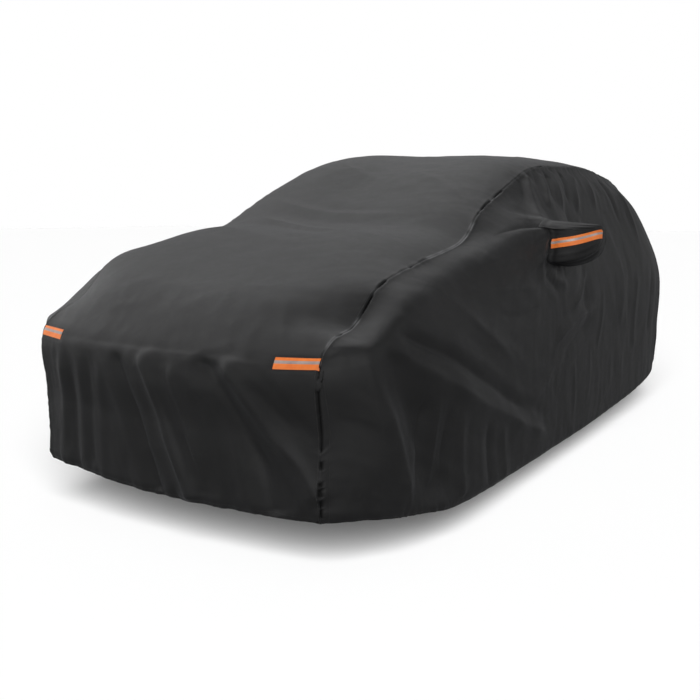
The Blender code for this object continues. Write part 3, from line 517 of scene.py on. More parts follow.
slant = np.clip(0.05 + 0.75 * (x + 0.6) / 1.2, 0, 0.8)
front_s = x - slant * (0.78 - z)
skirt = facing["front"] * between(z, 0.10, 0.70, 0.10)
rise += skirt * (0.0030 * wrinkles(front_s, z, 0.14, 5, 41, crest=0.3) + 0.0008 * wrinkles(front_s, z, 0.055, 6, 43, crest=0.25))
rise += skirt * between(x, -0.70, -0.36, 0.10) * 0.0016 * wrinkles(x, z, 0.05, 9, 45, crest=0.25)
slope_zone = facing["front"] * between(z, 0.80, 0.95, 0.05) + facing["top"] * between(y, -2.2, -1.9, 0.1)
rise += slope_zone * 0.0006 * wrinkles(x + 0.3 * y, y + z, 0.09, 3, 47)

side_face = {1: facing["right"] * (x > 0), -1: facing["left"] * (x < 0)}
for side, seed in ((1, 51), (-1, 151)):
    face = side_face[side]
    rear_zone = between(y, -0.55, 1.95, 0.35) * between(z, 0.10, 1.08, 0.14)
    rise += face * rear_zone * (0.0017 * wrinkles(y + 0.45 * z, z, 0.16, 2.3, seed, wander=0.5, crest=0.3) + 0.0005 * wrinkles(y, z, 0.05, 6, seed + 2, crest=0.3))
    across_fold, along_fold = 0.397 * y + 0.918 * z, 0.918 * y - 0.397 * z
    wing_zone = between(y, -2.1, -0.75, 0.30) * between(z, 0.10, 1.0, 0.12)
    rise += face * wing_zone * (
        0.0028 * wrinkles(across_fold, along_fold, 0.15, 4.5, seed + 4, crest=0.3) + 0.0007 * wrinkles(across_fold, along_fold, 0.055, 5, seed + 6, crest=0.25)
    )
    low_zone = between(y, -1.95, 1.8, 0.15) * between(z, 0.05, 0.42, 0.18)
    rise += face * low_zone * 0.0013 * wrinkles(y, z, 0.11, 3.0, seed + 8, wander=0.5, crest=0.3)
    glass_zone = between(y, -0.30, 1.75, 0.25) * between(z, 1.16, 1.60, 0.08)
    fall = np.exp(-seam_d / 0.16)
    rise += face * glass_zone * (0.0030 * fall + 0.0004) * wrinkles(0.75 * (y - 0.85 * z), 0.66 * (z + y), 0.055, 4.5, seed + 10)
    pillar_zone = between(y, -1.15, -0.30, 0.12) * between(z, 0.98, 1.40, 0.06)
    rise += face * pillar_zone * 0.0016 * wrinkles(0.5 * y - 0.86 * z, 0.86 * y + 0.5 * z, 0.06, 4, seed + 12)
    fan = np.arctan2(hole_b, hole_a)
    collar = ease(1 - (hole_reach - 1) / 1.3) * (hole_reach >= 0.999) * (hole_reach < 8)
    rise += face * collar * 0.0030 * wrinkles(fan * 0.16, hole_reach * 0.1, 0.05, 3, seed + 14)

top_zone = facing["top"] * between(y, -1.95, -0.05, 0.15)
rise += top_zone * (0.0016 * wrinkles(y + 0.22 * x, x, 0.17, 3.2, 71) + 0.0005 * wrinkles(y - 0.5 * x, x, 0.07, 4, 73))
roof_zone = facing["top"] * between(y, 0.1, 1.7, 0.2)
rise += roof_zone * 0.0014 * wrinkles(y + 0.6 * x, x - 0.6 * y, 0.19, 2.6, 75)
rear_zone = facing["rear"] * between(z, 0.10, 0.85, 0.10)
rise += rear_zone * (0.0034 * wrinkles(x, z, 0.11, 5, 77) + 0.0014 * wrinkles(x, z, 0.05, 6, 79))
hatch_zone = facing["rear"] * between(z, 0.90, 1.50, 0.10)
rise += hatch_zone * 0.0022 * wrinkles(z + 0.3 * x, x, 0.14, 3, 81)

# all over: the cloth's own slight crumple
crumple = 1 - 2.2 * np.sqrt(noise(P / 0.21 + noise(P / 0.3, 91)[:, None] * 0.5, 92) ** 2 + 0.012)
rise += 0.0016 * crumple + 0.0008 * noise(P / 0.09, 93)

# the strips stiffen the cloth behind them
stiff = np.zeros(count)
for low, high in STRIP_SPANS.values():
    block = ((ACROSS[None, :] >= low) & (ACROSS[None, :] <= high)) & (
        (U[:, None] <= u_of("front_corner") * 1.0001) & (U[:, None] >= u_of("front_corner") * (1 - STRIP_TOP) - 1e-6)
    )
    stiff[centre_ids[block]] = 1
rise *= 1 - 0.6 * stiff

# gathers at the hem, strongest where the elastic is, and the hem turned in
arc = hem_s
elastic = np.clip(np.maximum(between(y, -9, -1.7, 0.35), between(y, 1.6, 9, 0.35)), 0.35, 1)
gather = 0.0042 * wrinkles(arc, hem_d, 0.052, 3.2, 95, wander=0.6) + 0.0016 * wrinkles(arc, hem_d, 0.026, 3.5, 97)
rise += elastic * gather * np.exp(-hem_d / 0.075)
rise -= 0.014 * np.clip(1 - hem_d / 0.045, 0, 1) ** 2

# puckers that the stitching draws in along the seams
pucker = 0.0016 * wrinkles(seam_u, seam_d, 0.042, 1.9, 101, wander=0.7) + 0.0007 * wrinkles(seam_u, seam_d, 0.020, 2.2, 103)
rise += pucker * np.exp(-seam_d / 0.034) * (1 - 0.7 * stiff) * (hole_reach > 1.2)
rise += 0.0009 * np.exp(-(((seam_d - 0.009) / 0.006) ** 2))  # the seam allowance under the cloth

Q = P + N * rise[:, None]
N2 = vertex_normals(Q, everything)

# the seam itself: a narrow dip, which gapes here and there
gape_and_painted_shade = np.zeros(count)
for low, high, size in SEAM_GAPES:
    gape_and_painted_shade = np.maximum(gape_and_painted_shade, size * between(seam_u, low, high, 0.006))
gape_and_painted_shade = np.where(on_left, 0.6 * np.clip(2.2 * noise(stacked(seam_u / 0.09, 0.3, 0.7), 105) - 0.5, 0, 1), gape_and_painted_shade)
dip = (0.0014 + 0.0080 * gape_and_painted_shade) * np.exp(-((seam_d / (0.0026 + 0.0022 * gape_and_painted_shade)) ** 2))
Q = Q - N2 * dip[:, None]
N2 = vertex_normals(Q, everything)
Q = Q - CARRIED_AT


# ------------------------------------------------------------------ materials
def new_material(name):
    material = bpy.data.materials.new(name)
    material.use_nodes = True
    tree = material.node_tree
    return material, tree.nodes, tree.links, tree.nodes["Principled BSDF"]


def add(nodes, kind, label=None, **values):
    node = nodes.new(kind)
    if label:
        node.label = label
    for key, value in values.items():
        if hasattr(node, key):
            setattr(node, key, value)
        else:
            node.inputs[key.replace("_", " ")].default_value = value
    return node


def math_node(nodes, links, op, a, b=None, clamp=False):
    node = nodes.new("ShaderNodeMath")
    node.operation, node.use_clamp = op, clamp
    for k, value in enumerate((a, b)):
        if value is None:
            continue
        if isinstance(value, (int, float)):
            node.inputs[k].default_value = value
        else:
            links.new(value, node.inputs[k])
    return node.outputs[0]


def weave(nodes, links, pitch, tilt=0.0):
    """The height of a plain weave, from the cloth's own metric map."""
    uv = add(nodes, "ShaderNodeUVMap", uv_map="cloth")
    place = nodes.new("ShaderNodeMapping")
    place.inputs["Rotation"].default_value = (0, 0, tilt)
    links.new(uv.outputs[0], place.inputs[0])
    waves = []
    for axis in ("X", "Y"):
        wave = nodes.new("ShaderNodeTexWave")
        wave.wave_type, wave.bands_direction, wave.wave_profile = "BANDS", axis, "SIN"
        wave.inputs["Scale"].default_value = math.pi / 10 / pitch
        wave.inputs["Distortion"].default_value = 0.25
        wave.inputs["Detail"].default_value = 1.0
        wave.inputs["Detail Scale"].default_value = 0.4
        links.new(place.outputs[0], wave.inputs["Vector"])
        waves.append(wave.outputs["Fac"])
    return math_node(nodes, links, "MULTIPLY", waves[0], waves[1])


def cloth_material(name, colour, roughness=0.56, sheen=0.05, crumple=1.0):
    material, nodes, links, shader = new_material(name)
    where = nodes.new("ShaderNodeTexCoord").outputs["Object"]
    broad = add(nodes, "ShaderNodeTexNoise", Scale=2.4, Detail=4.0, Roughness=0.55)
    fine = add(nodes, "ShaderNodeTexNoise", Scale=38.0, Detail=5.0, Roughness=0.62)
    grain = add(nodes, "ShaderNodeTexNoise", Scale=420.0, Detail=2.0, Roughness=0.5)
    crease = add(nodes, "ShaderNodeTexNoise", noise_type="RIDGED_MULTIFRACTAL")
    crease.inputs["Scale"].default_value = 7.5
    crease.inputs["Detail"].default_value = 4.0
    crease.inputs["Roughness"].default_value = 0.52
    crease.inputs["Distortion"].default_value = 0.5
    for node in (broad, fine, grain, crease):
        links.new(where, node.inputs["Vector"])
    wear = add(nodes, "ShaderNodeAttribute", attribute_name="wear")
    threads = weave(nodes, links, 0.0012)

    tone = nodes.new("ShaderNodeValToRGB")
    tone.color_ramp.elements[0].position, tone.color_ramp.elements[1].position = 0.30, 0.72
    tone.color_ramp.elements[0].color = (*(c * 0.84 for c in colour), 1)
    tone.color_ramp.elements[1].color = (*(c * 1.14 for c in colour), 1)
    links.new(broad.outputs["Fac"], tone.inputs["Fac"])
    worn = nodes.new("ShaderNodeMix")
    worn.data_type = "RGBA"
    worn.inputs["B"].default_value = (0.045, 0.045, 0.046, 1)
    links.new(tone.outputs["Color"], worn.inputs["A"])
    dusty = math_node(nodes, links, "MULTIPLY", wear.outputs["Fac"], fine.outputs["Fac"])
    links.new(math_node(nodes, links, "MULTIPLY", dusty, 0.5, True), worn.inputs["Factor"])
    shade = nodes.new("ShaderNodeMix")
    shade.data_type, shade.blend_type = "RGBA", "MULTIPLY"
    links.new(worn.outputs["Result"], shade.inputs["A"])
    thread_tone = nodes.new("ShaderNodeMapRange")
    thread_tone.inputs["To Min"].default_value, thread_tone.inputs["To Max"].default_value = 0.72, 1.15
    links.new(threads, thread_tone.inputs["Value"])
    shade.inputs["Factor"].default_value = 1.0
    links.new(thread_tone.outputs[0], shade.inputs["B"])
    # painted highlight: the cloth's colour mixed lighter along the edge of the right seam
    lip_painted_highlight = add(nodes, "ShaderNodeAttribute", attribute_name="lip_painted_highlight")
    edge = nodes.new("ShaderNodeMix")
    edge.data_type = "RGBA"
    edge.inputs["B"].default_value = (0.17, 0.17, 0.175, 1)
    links.new(lip_painted_highlight.outputs["Fac"], edge.inputs["Factor"])
    links.new(shade.outputs["Result"], edge.inputs["A"])
    # painted shade: the cloth's colour mixed to near black where the seam gapes
    painted_gape_shade_attribute = add(nodes, "ShaderNodeAttribute", attribute_name="gape_and_painted_shade")
    gape_painted_black = nodes.new("ShaderNodeMix")
    gape_painted_black.data_type = "RGBA"
    gape_painted_black.inputs["B"].default_value = (0.0006, 0.0006, 0.0006, 1)
    links.new(painted_gape_shade_attribute.outputs["Fac"], gape_painted_black.inputs["Factor"])
    links.new(edge.outputs["Result"], gape_painted_black.inputs["A"])
    links.new(gape_painted_black.outputs["Result"], shader.inputs["Base Color"])

    rough = nodes.new("ShaderNodeMapRange")
    rough.inputs["To Min"].default_value, rough.inputs["To Max"].default_value = roughness - 0.07, roughness + 0.09
    links.new(fine.outputs["Fac"], rough.inputs["Value"])
    links.new(rough.outputs[0], shader.inputs["Roughness"])
    shader.inputs["Specular IOR Level"].default_value = 0.22
    shader.inputs["Sheen Weight"].default_value = sheen
    shader.inputs["Sheen Roughness"].default_value = 0.45
    shader.inputs["Sheen Tint"].default_value = (0.92, 0.94, 1.0, 1)

    bumps = None
    for height, distance, strength in (
        (crease.outputs["Fac"], 0.0022, 0.30 * crumple),
        (fine.outputs["Fac"], 0.0016, 0.32 * crumple),
        (grain.outputs["Fac"], 0.0003, 0.25),
        (threads, 0.00025, 0.45),
    ):
        bump = nodes.new("ShaderNodeBump")
        bump.inputs["Strength"].default_value = strength
        bump.inputs["Distance"].default_value = distance
        links.new(height, bump.inputs["Height"])
        if bumps:
            links.new(bumps, bump.inputs["Normal"])
        bumps = bump.outputs["Normal"]
    links.new(bumps, shader.inputs["Normal"])
    return material


def tape_material(name):
    """Orange tape with a silver-grey reflective band along its middle."""
    material, nodes, links, shader = new_material(name)
    uv = add(nodes, "ShaderNodeUVMap", uv_map="cloth")
    place = nodes.new("ShaderNodeSeparateXYZ")
    links.new(uv.outputs[0], place.inputs[0])
    height = place.outputs["Y"]  # 0 to 1 across the tape
    band = math_node(nodes, links, "SUBTRACT", height, 0.60)
    band = math_node(nodes, links, "ABSOLUTE", band)
    band = math_node(nodes, links, "SUBTRACT", 0.14, band)
    band = math_node(nodes, links, "MULTIPLY", band, 60.0, True)
    where = nodes.new("ShaderNodeTexCoord").outputs["Object"]
    soil = add(nodes, "ShaderNodeTexNoise", Scale=26.0, Detail=5.0, Roughness=0.6)
    links.new(where, soil.inputs["Vector"])
    orange = nodes.new("ShaderNodeValToRGB")
    orange.color_ramp.elements[0].position, orange.color_ramp.elements[1].position = 0.30, 0.75
    orange.color_ramp.elements[0].color = (0.86, 0.19, 0.028, 1)
    orange.color_ramp.elements[1].color = (0.98, 0.27, 0.05, 1)
    links.new(soil.outputs["Fac"], orange.inputs["Fac"])
    silver = nodes.new("ShaderNodeValToRGB")
    silver.color_ramp.elements[0].position, silver.color_ramp.elements[1].position = 0.30, 0.75
    silver.color_ramp.elements[0].color = (0.34, 0.27, 0.25, 1)
    silver.color_ramp.elements[1].color = (0.52, 0.43, 0.40, 1)
    links.new(soil.outputs["Fac"], silver.inputs["Fac"])
    mix = nodes.new("ShaderNodeMix")
    mix.data_type = "RGBA"
    links.new(band, mix.inputs["Factor"])
    links.new(orange.outputs["Color"], mix.inputs["A"])
    links.new(silver.outputs["Color"], mix.inputs["B"])
    links.new(mix.outputs["Result"], shader.inputs["Base Color"])
    rough = nodes.new("ShaderNodeMapRange")
    rough.inputs["To Min"].default_value, rough.inputs["To Max"].default_value = 0.50, 0.34
    links.new(band, rough.inputs["Value"])
    links.new(rough.outputs[0], shader.inputs["Roughness"])
    shader.inputs["Specular IOR Level"].default_value = 0.4
    bead = nodes.new("ShaderNodeTexVoronoi")
    bead.inputs["Scale"].default_value = 900.0
    links.new(where, bead.inputs["Vector"])
    bump = nodes.new("ShaderNodeBump")
    bump.inputs["Strength"].default_value, bump.inputs["Distance"].default_value = 0.25, 0.0002
    links.new(bead.outputs["Distance"], bump.inputs["Height"])
    pucker_bump = nodes.new("ShaderNodeBump")
    pucker_bump.inputs["Strength"].default_value, pucker_bump.inputs["Distance"].default_value = 0.35, 0.0012
    links.new(soil.outputs["Fac"], pucker_bump.inputs["Height"])
    links.new(bump.outputs["Normal"], pucker_bump.inputs["Normal"])
    links.new(pucker_bump.outputs["Normal"], shader.inputs["Normal"])
    return material


def thread_material(name, colour, roughness=0.5):
    material, nodes, links, shader = new_material(name)
    where = nodes.new("ShaderNodeTexCoord").outputs["Object"]
    fuzz = add(nodes, "ShaderNodeTexNoise", Scale=700.0, Detail=3.0, Roughness=0.6)
    links.new(where, fuzz.inputs["Vector"])
    tone = nodes.new("ShaderNodeValToRGB")
    tone.color_ramp.elements[0].position, tone.color_ramp.elements[1].position = 0.30, 0.75
    tone.color_ramp.elements[0].color = (*(c * 0.7 for c in colour), 1)
    tone.color_ramp.elements[1].color = (*(c * 1.2 for c in colour), 1)
    links.new(fuzz.outputs["Fac"], tone.inputs["Fac"])
    links.new(tone.outputs["Color"], shader.inputs["Base Color"])
    shader.inputs["Roughness"].default_value = roughness
    shader.inputs["Sheen Weight"].default_value = 0.2
    bump = nodes.new("ShaderNodeBump")
    bump.inputs["Strength"].default_value, bump.inputs["Distance"].default_value = 0.4, 0.0002
    links.new(fuzz.outputs["Fac"], bump.inputs["Height"])
    links.new(bump.outputs["Normal"], shader.inputs["Normal"])
    return material


CLOTH = cloth_material("cover_cloth_woven", (0.0185, 0.0185, 0.0190))
POCKET = cloth_material("pocket_cloth_woven", (0.0130, 0.0130, 0.0135), crumple=0.8)
TAPE = tape_material("reflective_tape")
# the seam's binding tape, coloured near black and darker than the cloth, as painted shade where the seam gapes
BINDING_DARK_AS_SHADE = cloth_material("seam_binding_painted_shade_black", (0.003, 0.003, 0.003), roughness=0.75, sheen=0.0, crumple=0.4)
THREAD = thread_material("black_thread", (0.016, 0.016, 0.017))
ORANGE_THREAD = thread_material("orange_thread", (0.80, 0.20, 0.04))


# ------------------------------------------------------------------ mesh building
def make_piece(name, verts, faces, material, uv=None, wear=None, smooth=0.9, painted_shade_in_gape=None, painted_highlight=None):
    mesh = bpy.data.meshes.new(name)
    quads = [f for f in faces if len(f)]
    mesh.from_pydata(verts.tolist(), [], [f for block in quads for f in block.tolist()])
    mesh.update()
    mesh.shade_smooth()
    if smooth:
        mesh.set_sharp_from_angle(angle=smooth)
    loops = np.zeros(len(mesh.loops), np.int32)
    mesh.loops.foreach_get("vertex_index", loops)
    if uv is not None:
        layer = mesh.uv_layers.new(name="cloth")
        layer.data.foreach_set("uv", uv[loops].astype(np.float32).ravel())
    values = np.zeros(len(verts)) if wear is None else wear
    mesh.attributes.new("wear", "FLOAT", "POINT").data.foreach_set("value", values.astype(np.float32))
    # colour masks: painted shade in the seam's gapes and painted highlight on the seam's edge
    if painted_shade_in_gape is not None:
        mesh.attributes.new("gape_and_painted_shade", "FLOAT", "POINT").data.foreach_set("value", painted_shade_in_gape.astype(np.float32))
        mesh.attributes.new("lip_painted_highlight", "FLOAT", "POINT").data.foreach_set("value", painted_highlight.astype(np.float32))
    obj = bpy.data.objects.new(name, mesh)
    obj.data.materials.append(material)
    bpy.context.scene.collection.objects.link(obj)
    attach(obj, "root")
    return obj


def shell(ids, outer, normals, thick, keep=None, flip=False):
    """A closed sheet: the fine surface outside, and a surface of every second point inside it.
    ids is a grid of point numbers with an even number of cells each way, and keep says which cells
    are cloth. Returns the points, their numbers, and the faces."""
    n_i, n_j = ids.shape
    top, nrm = outer[ids], normals[ids]
    inner = top[::2, ::2] - thick * nrm[::2, ::2]
    n_in = nrm[::2, ::2]
    for _ in range(3):
        fine = np.zeros_like(top)
        fine[::2, ::2] = inner
        fine[1::2, ::2] = (inner[:-1] + inner[1:]) / 2
        fine[:, 1::2] = (fine[:, :-1:2] + fine[:, 2::2]) / 2
        short = np.clip(0.0012 - ((top - fine) * nrm).sum(axis=-1), 0, 0.012)
        worst = short[::2, ::2].copy()
        padded = np.pad(short, 1)
        for di in (-1, 0, 1):
            for dj in (-1, 0, 1):
                worst = np.maximum(worst, padded[1 + di : 1 + di + n_i : 2, 1 + dj : 1 + dj + n_j : 2][: worst.shape[0], : worst.shape[1]])
        inner = inner - worst[..., None] * n_in
    keep = np.ones((n_i - 1, n_j - 1), bool) if keep is None else keep
    number = np.arange(n_i * n_j).reshape(n_i, n_j)
    inner_number = number.size + np.arange(inner.shape[0] * inner.shape[1]).reshape(inner.shape[:2])
    out_faces = cells(number)[keep]
    in_faces = cells(inner_number)[keep[::2, ::2]][:, ::-1]
    if flip:
        out_faces, in_faces = out_faces[:, ::-1], in_faces[:, ::-1]
    # the rim: each edge of an inside cell that has no neighbour, with the two fine edges beside it
    kept = {}
    for f in in_faces.tolist():
        for k in range(4):
            kept[(f[k], f[(k + 1) % 4])] = True
    back = {}
    for i in range(inner.shape[0]):
        for j in range(inner.shape[1]):
            back[int(inner_number[i, j])] = (2 * i, 2 * j)
    rim = []
    for a, b in kept:
        if (b, a) not in kept:
            (ia, ja), (ib, jb) = back[a], back[b]
            oa, om, ob = int(number[ia, ja]), int(number[(ia + ib) // 2, (ja + jb) // 2]), int(number[ib, jb])
            rim += [(a, oa, om), (a, om, b), (b, om, ob)]
    rim = np.array(rim)[:, ::-1]
    verts = np.concatenate([top.reshape(-1, 3), inner.reshape(-1, 3)])
    source = np.concatenate([ids.reshape(-1), ids[::2, ::2].reshape(-1)])
    used = np.unique(np.concatenate([out_faces.ravel(), in_faces.ravel(), rim.ravel()]))
    renumber = np.full(len(verts), -1)
    renumber[used] = np.arange(len(used))
    return verts[used], source[used], [renumber[out_faces], renumber[in_faces], renumber[rim]]


def tidy_dashes(name, path, normals, material, length=0.0042, space=0.0018, thick=0.0008, lift=0.0004):
    """Stitches along a path on the cloth, joined into one mesh."""
    path, normals = np.asarray(path), np.asarray(normals)
    step = np.linalg.norm(np.diff(path, axis=0), axis=1)
    run = np.concatenate([[0], np.cumsum(step)])
    n = int(run[-1] / (length + space))
    starts = (np.arange(n) + 0.15) * (length + space)
    ends = starts + length

    def at(s, values):
        return np.stack([np.interp(s, run, values[:, k]) for k in range(values.shape[1])], axis=1)

    a, b = at(starts, path), at(ends, path)
    up = at((starts + ends) / 2, normals)
    up /= np.linalg.norm(up, axis=1)[:, None]
    ahead = b - a
    ahead /= np.maximum(np.linalg.norm(ahead, axis=1), 1e-9)[:, None]
    out = np.cross(ahead, up)
    out /= np.maximum(np.linalg.norm(out, axis=1), 1e-9)[:, None]
    rings = []
    for where, share, high in ((a, 0.55, 0.0), ((a + b) / 2, 1.0, 1.0), (b, 0.55, 0.0)):
        centre = where + up * (lift + thick * 0.35 * high)
        for angle in (0.0, 2.1, 4.2):
            rings.append(centre + thick / 2 * share * (np.cos(angle) * up + np.sin(angle) * out))
    verts = np.stack(rings, axis=1).reshape(-1, 3)
    base = np.arange(n)[:, None] * 9
    quads = []
    for r in (0, 3):
        for k in range(3):
            quads.append(base + np.array([[r + k, r + 3 + k, r + 3 + (k + 1) % 3, r + (k + 1) % 3]]))
    caps = [base + np.array([[0, 1, 2]]), base + np.array([[8, 7, 6]])]
    return make_piece(name, verts, [np.concatenate(quads), np.concatenate(caps)], material, smooth=None)


curve_wear = np.clip(0.22 * np.exp(-seam_d / 0.03) + 0.30 * np.exp(-hem_d / 0.05) + np.clip(rise / 0.03, 0, 0.35), 0, 1)
cloth_map = np.stack([cloth_v, cloth_u], axis=1)
# painted shade: a mask that paints the cloth near black in the seam's gapes
gape_painted_shade_mask = np.clip(1.25 * gape_and_painted_shade * np.exp(-((seam_d / 0.0052) ** 2)), 0, 1)
# painted highlight: how much lighter the cloth is painted along the right seam's edge
seam_edge_painted_highlight = np.zeros(count)
for low, high, size in SEAM_PAINTED_HIGHLIGHTS:
    seam_edge_painted_highlight = np.maximum(seam_edge_painted_highlight, size * between(seam_u, low, high, 0.05))
seam_edge_painted_highlight *= ~on_left * np.clip(0.75 + 0.9 * noise(stacked(seam_u / 0.045, 0.2, 0.6), 107), 0, 1) * np.exp(-(((seam_d - 0.0050) / 0.0036) ** 2))


def seam_back(side, piece):
    """The points of the cloth with a seam's edge drawn back by half a gap into one piece."""
    edge = seam_keep[side]
    along = np.gradient(Q[edge], axis=0)
    square = np.cross(along, N2[edge])
    square /= np.linalg.norm(square, axis=1)[:, None]
    towards = Q[edge] - Q[centre_ids[:, COLUMNS - 2 if side > 0 else 1]]
    square *= np.sign((square * towards).sum(axis=1))[:, None]
    return edge, square * (GAP / 2) * (-1 if piece == "centre" else 1)


# centre panel: every second row of the front and rear drops
rows = np.concatenate([np.arange(0, LAST_DOWN, 2), np.arange(LAST_DOWN, LAST_DOWN + TOPS - 1), np.arange(LAST_DOWN + TOPS - 1, ROWS, 2)])
own = Q.copy()
for side in (1, -1):
    edge, shift = seam_back(side, "centre")
    own[edge] += shift
verts, source, faces = shell(centre_ids[rows], own, N2, SHEET, flip=not FLIPPED)
centre = make_piece("cloth_centre_panel", verts, faces, CLOTH, cloth_map[source], curve_wear[source], painted_shade_in_gape=gape_painted_shade_mask[source], painted_highlight=seam_edge_painted_highlight[source])
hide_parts("centre_panel")

for side, suffix in ((1, "right"), (-1, "left")):
    ids = side_ids[side]
    own = Q.copy()
    edge, shift = seam_back(side, side)
    own[edge] += shift
    keep = np.ones((ids.shape[0] - 1, ids.shape[1] - 1), bool)
    keep[start:stop, hole_top:hole_bottom] = False
    verts, source, faces = shell(ids, own, N2, SHEET, keep, flip=(side > 0) != FLIPPED)
    panel = make_piece("cloth_side_panel_" + suffix, verts, faces, CLOTH, cloth_map[source], curve_wear[source], painted_shade_in_gape=gape_painted_shade_mask[source], painted_highlight=seam_edge_painted_highlight[source])
    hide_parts("side_panel_" + suffix)


def ribbon(name, ids, surface, normals, low, high, material, uv):
    """A closed tape over a block of the cloth's points, between two heights above the cloth."""
    n_i, n_j = ids.shape
    number = np.arange(n_i * n_j).reshape(n_i, n_j)
    top = (surface[ids] + high * normals[ids]).reshape(-1, 3)
    bottom = (surface[ids] + low * normals[ids]).reshape(-1, 3)
    quads = cells(number).reshape(-1, 4)
    a, b, c, d = (top[quads[:, k]] for k in range(4))
    if (np.cross(c - a, d - b) * normals[ids].reshape(-1, 3)[quads[:, 0]]).sum() < 0:
        quads = quads[:, ::-1]
    edges = {(f[k], f[(k + 1) % 4]) for f in quads.tolist() for k in range(4)}
    rim = np.array([(a, a + n_i * n_j, b + n_i * n_j, b) for a, b in edges if (b, a) not in edges])
    verts = np.concatenate([top, bottom])
    return make_piece(name, verts, [quads, quads[:, ::-1] + n_i * n_j, rim], material, np.concatenate([uv, uv]), smooth=0.8)


with_sheet = {}  # the separate pieces that go with each declared sheet
front_rows = np.nonzero((U_FRONT >= u_of("front_corner") * (1 - STRIP_TOP) - 1e-6))[0]
for name, (low, high) in STRIP_SPANS.items():
    cols = np.nonzero((ACROSS >= low - 1e-6) & (ACROSS <= high + 1e-6))[0]
    cols = cols[:-1] if name.endswith("right") else cols[1:]
    block = centre_ids[np.ix_(front_rows, cols)]
    share = (U[front_rows] - U[front_rows[0]]) / (U[front_rows[-1]] - U[front_rows[0]])
    map_u = P[block][..., 0]
    map_v = np.broadcast_to(share[:, None], block.shape)
    strip = ribbon("tape_" + name, block, Q, N2, 0.0007, 0.0017, TAPE, np.stack([map_u.ravel(), map_v.ravel()], axis=1))
    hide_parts(name)
    for k, row in enumerate((block[1], block[-2])):
        thread = tidy_dashes(f"stitch_{name}_{k}", Q[row] + 0.0017 * N2[row], N2[row], ORANGE_THREAD, 0.0034, 0.0014, 0.0006)
        with_sheet.setdefault(name, []).append(thread)

# the tape behind each seam, coloured near black as painted shade, which shows where the seam gapes, and the stitches
# beside it
for side, suffix in ((1, "right"), (-1, "left")):
    edge = seam_keep[side]
    inside = 3
    centre_side = [centre_ids[:, COLUMNS - 1 - k] if side > 0 else centre_ids[:, k] for k in range(1, inside + 1)]
    ids = side_ids[side]
    outer_side = []
    for k in range(1, inside + 1):
        outer_side.append(np.concatenate([ids[k, :k:-1], ids[k : ids.shape[0] - k, k], ids[-1 - k, k + 1 :]]))
    # a plain strip on the seam line, wide enough to close the gape from inside
    along = np.gradient(Q[edge], axis=0)
    along /= np.linalg.norm(along, axis=1)[:, None]
    square = np.cross(along, N2[edge])
    depth = 0.0030 + 0.0 * gape_and_painted_shade[edge]
    width = np.array([-0.011, -0.004, 0.004, 0.011])
    base = Q[edge] - N2[edge] * (depth + SHEET * 0.4)[:, None]
    grid = base[:, None] + square[:, None] * width[None, :, None] - N2[edge][:, None] * (0.0035 * (np.abs(width) / 0.011) ** 2)[None, :, None]
    step = slice(None, None, 1)
    grid = grid[step]
    flat_ids = np.arange(grid.shape[0] * grid.shape[1]).reshape(grid.shape[:2])
    uv = np.stack(np.broadcast_arrays(width[None, :], U[step][:, None]), axis=-1).reshape(-1, 2)
    tape = ribbon("seam_tape_dark_as_shade_" + suffix, flat_ids, grid.reshape(-1, 3), np.repeat(N2[edge][step], 4, axis=0), -0.0008, 0.0, BINDING_DARK_AS_SHADE, uv)
    with_sheet.setdefault("side_panel_" + suffix, []).append(tape)
    for name, line in (("centre", centre_side[2]), ("side", outer_side[2])):
        thread = tidy_dashes(f"stitch_seam_{name}_{suffix}", Q[line], N2[line], THREAD, 0.0046, 0.0020, 0.0009)
        with_sheet.setdefault("centre_panel" if name == "centre" else "side_panel_" + suffix, []).append(thread)

# the hem's stitch line, 18 mm above its edge
for name, ids, axis in (("centre_front", centre_ids, 0), ("centre_rear", centre_ids, 1), ("side_right", side_ids[1], 2), ("side_left", side_ids[-1], 2)):
    if axis == 0:
        line = ids[int(np.argmin(np.abs(centre_run[:, COLUMNS // 2] - 0.018)))]
    elif axis == 1:
        line = ids[int(np.argmin(np.abs(centre_run[-1, COLUMNS // 2] - centre_run[:, COLUMNS // 2] - 0.018)))]
    else:
        line = ids[:, int(np.argmin(np.abs(hem_d[ids[ids.shape[0] // 2]] - 0.018)))]
    thread = tidy_dashes("stitch_hem_" + name, Q[line], N2[line], THREAD, 0.0046, 0.0022, 0.0009)
    with_sheet.setdefault("centre_panel" if axis < 2 else "side_panel_" + name[5:], []).append(thread)


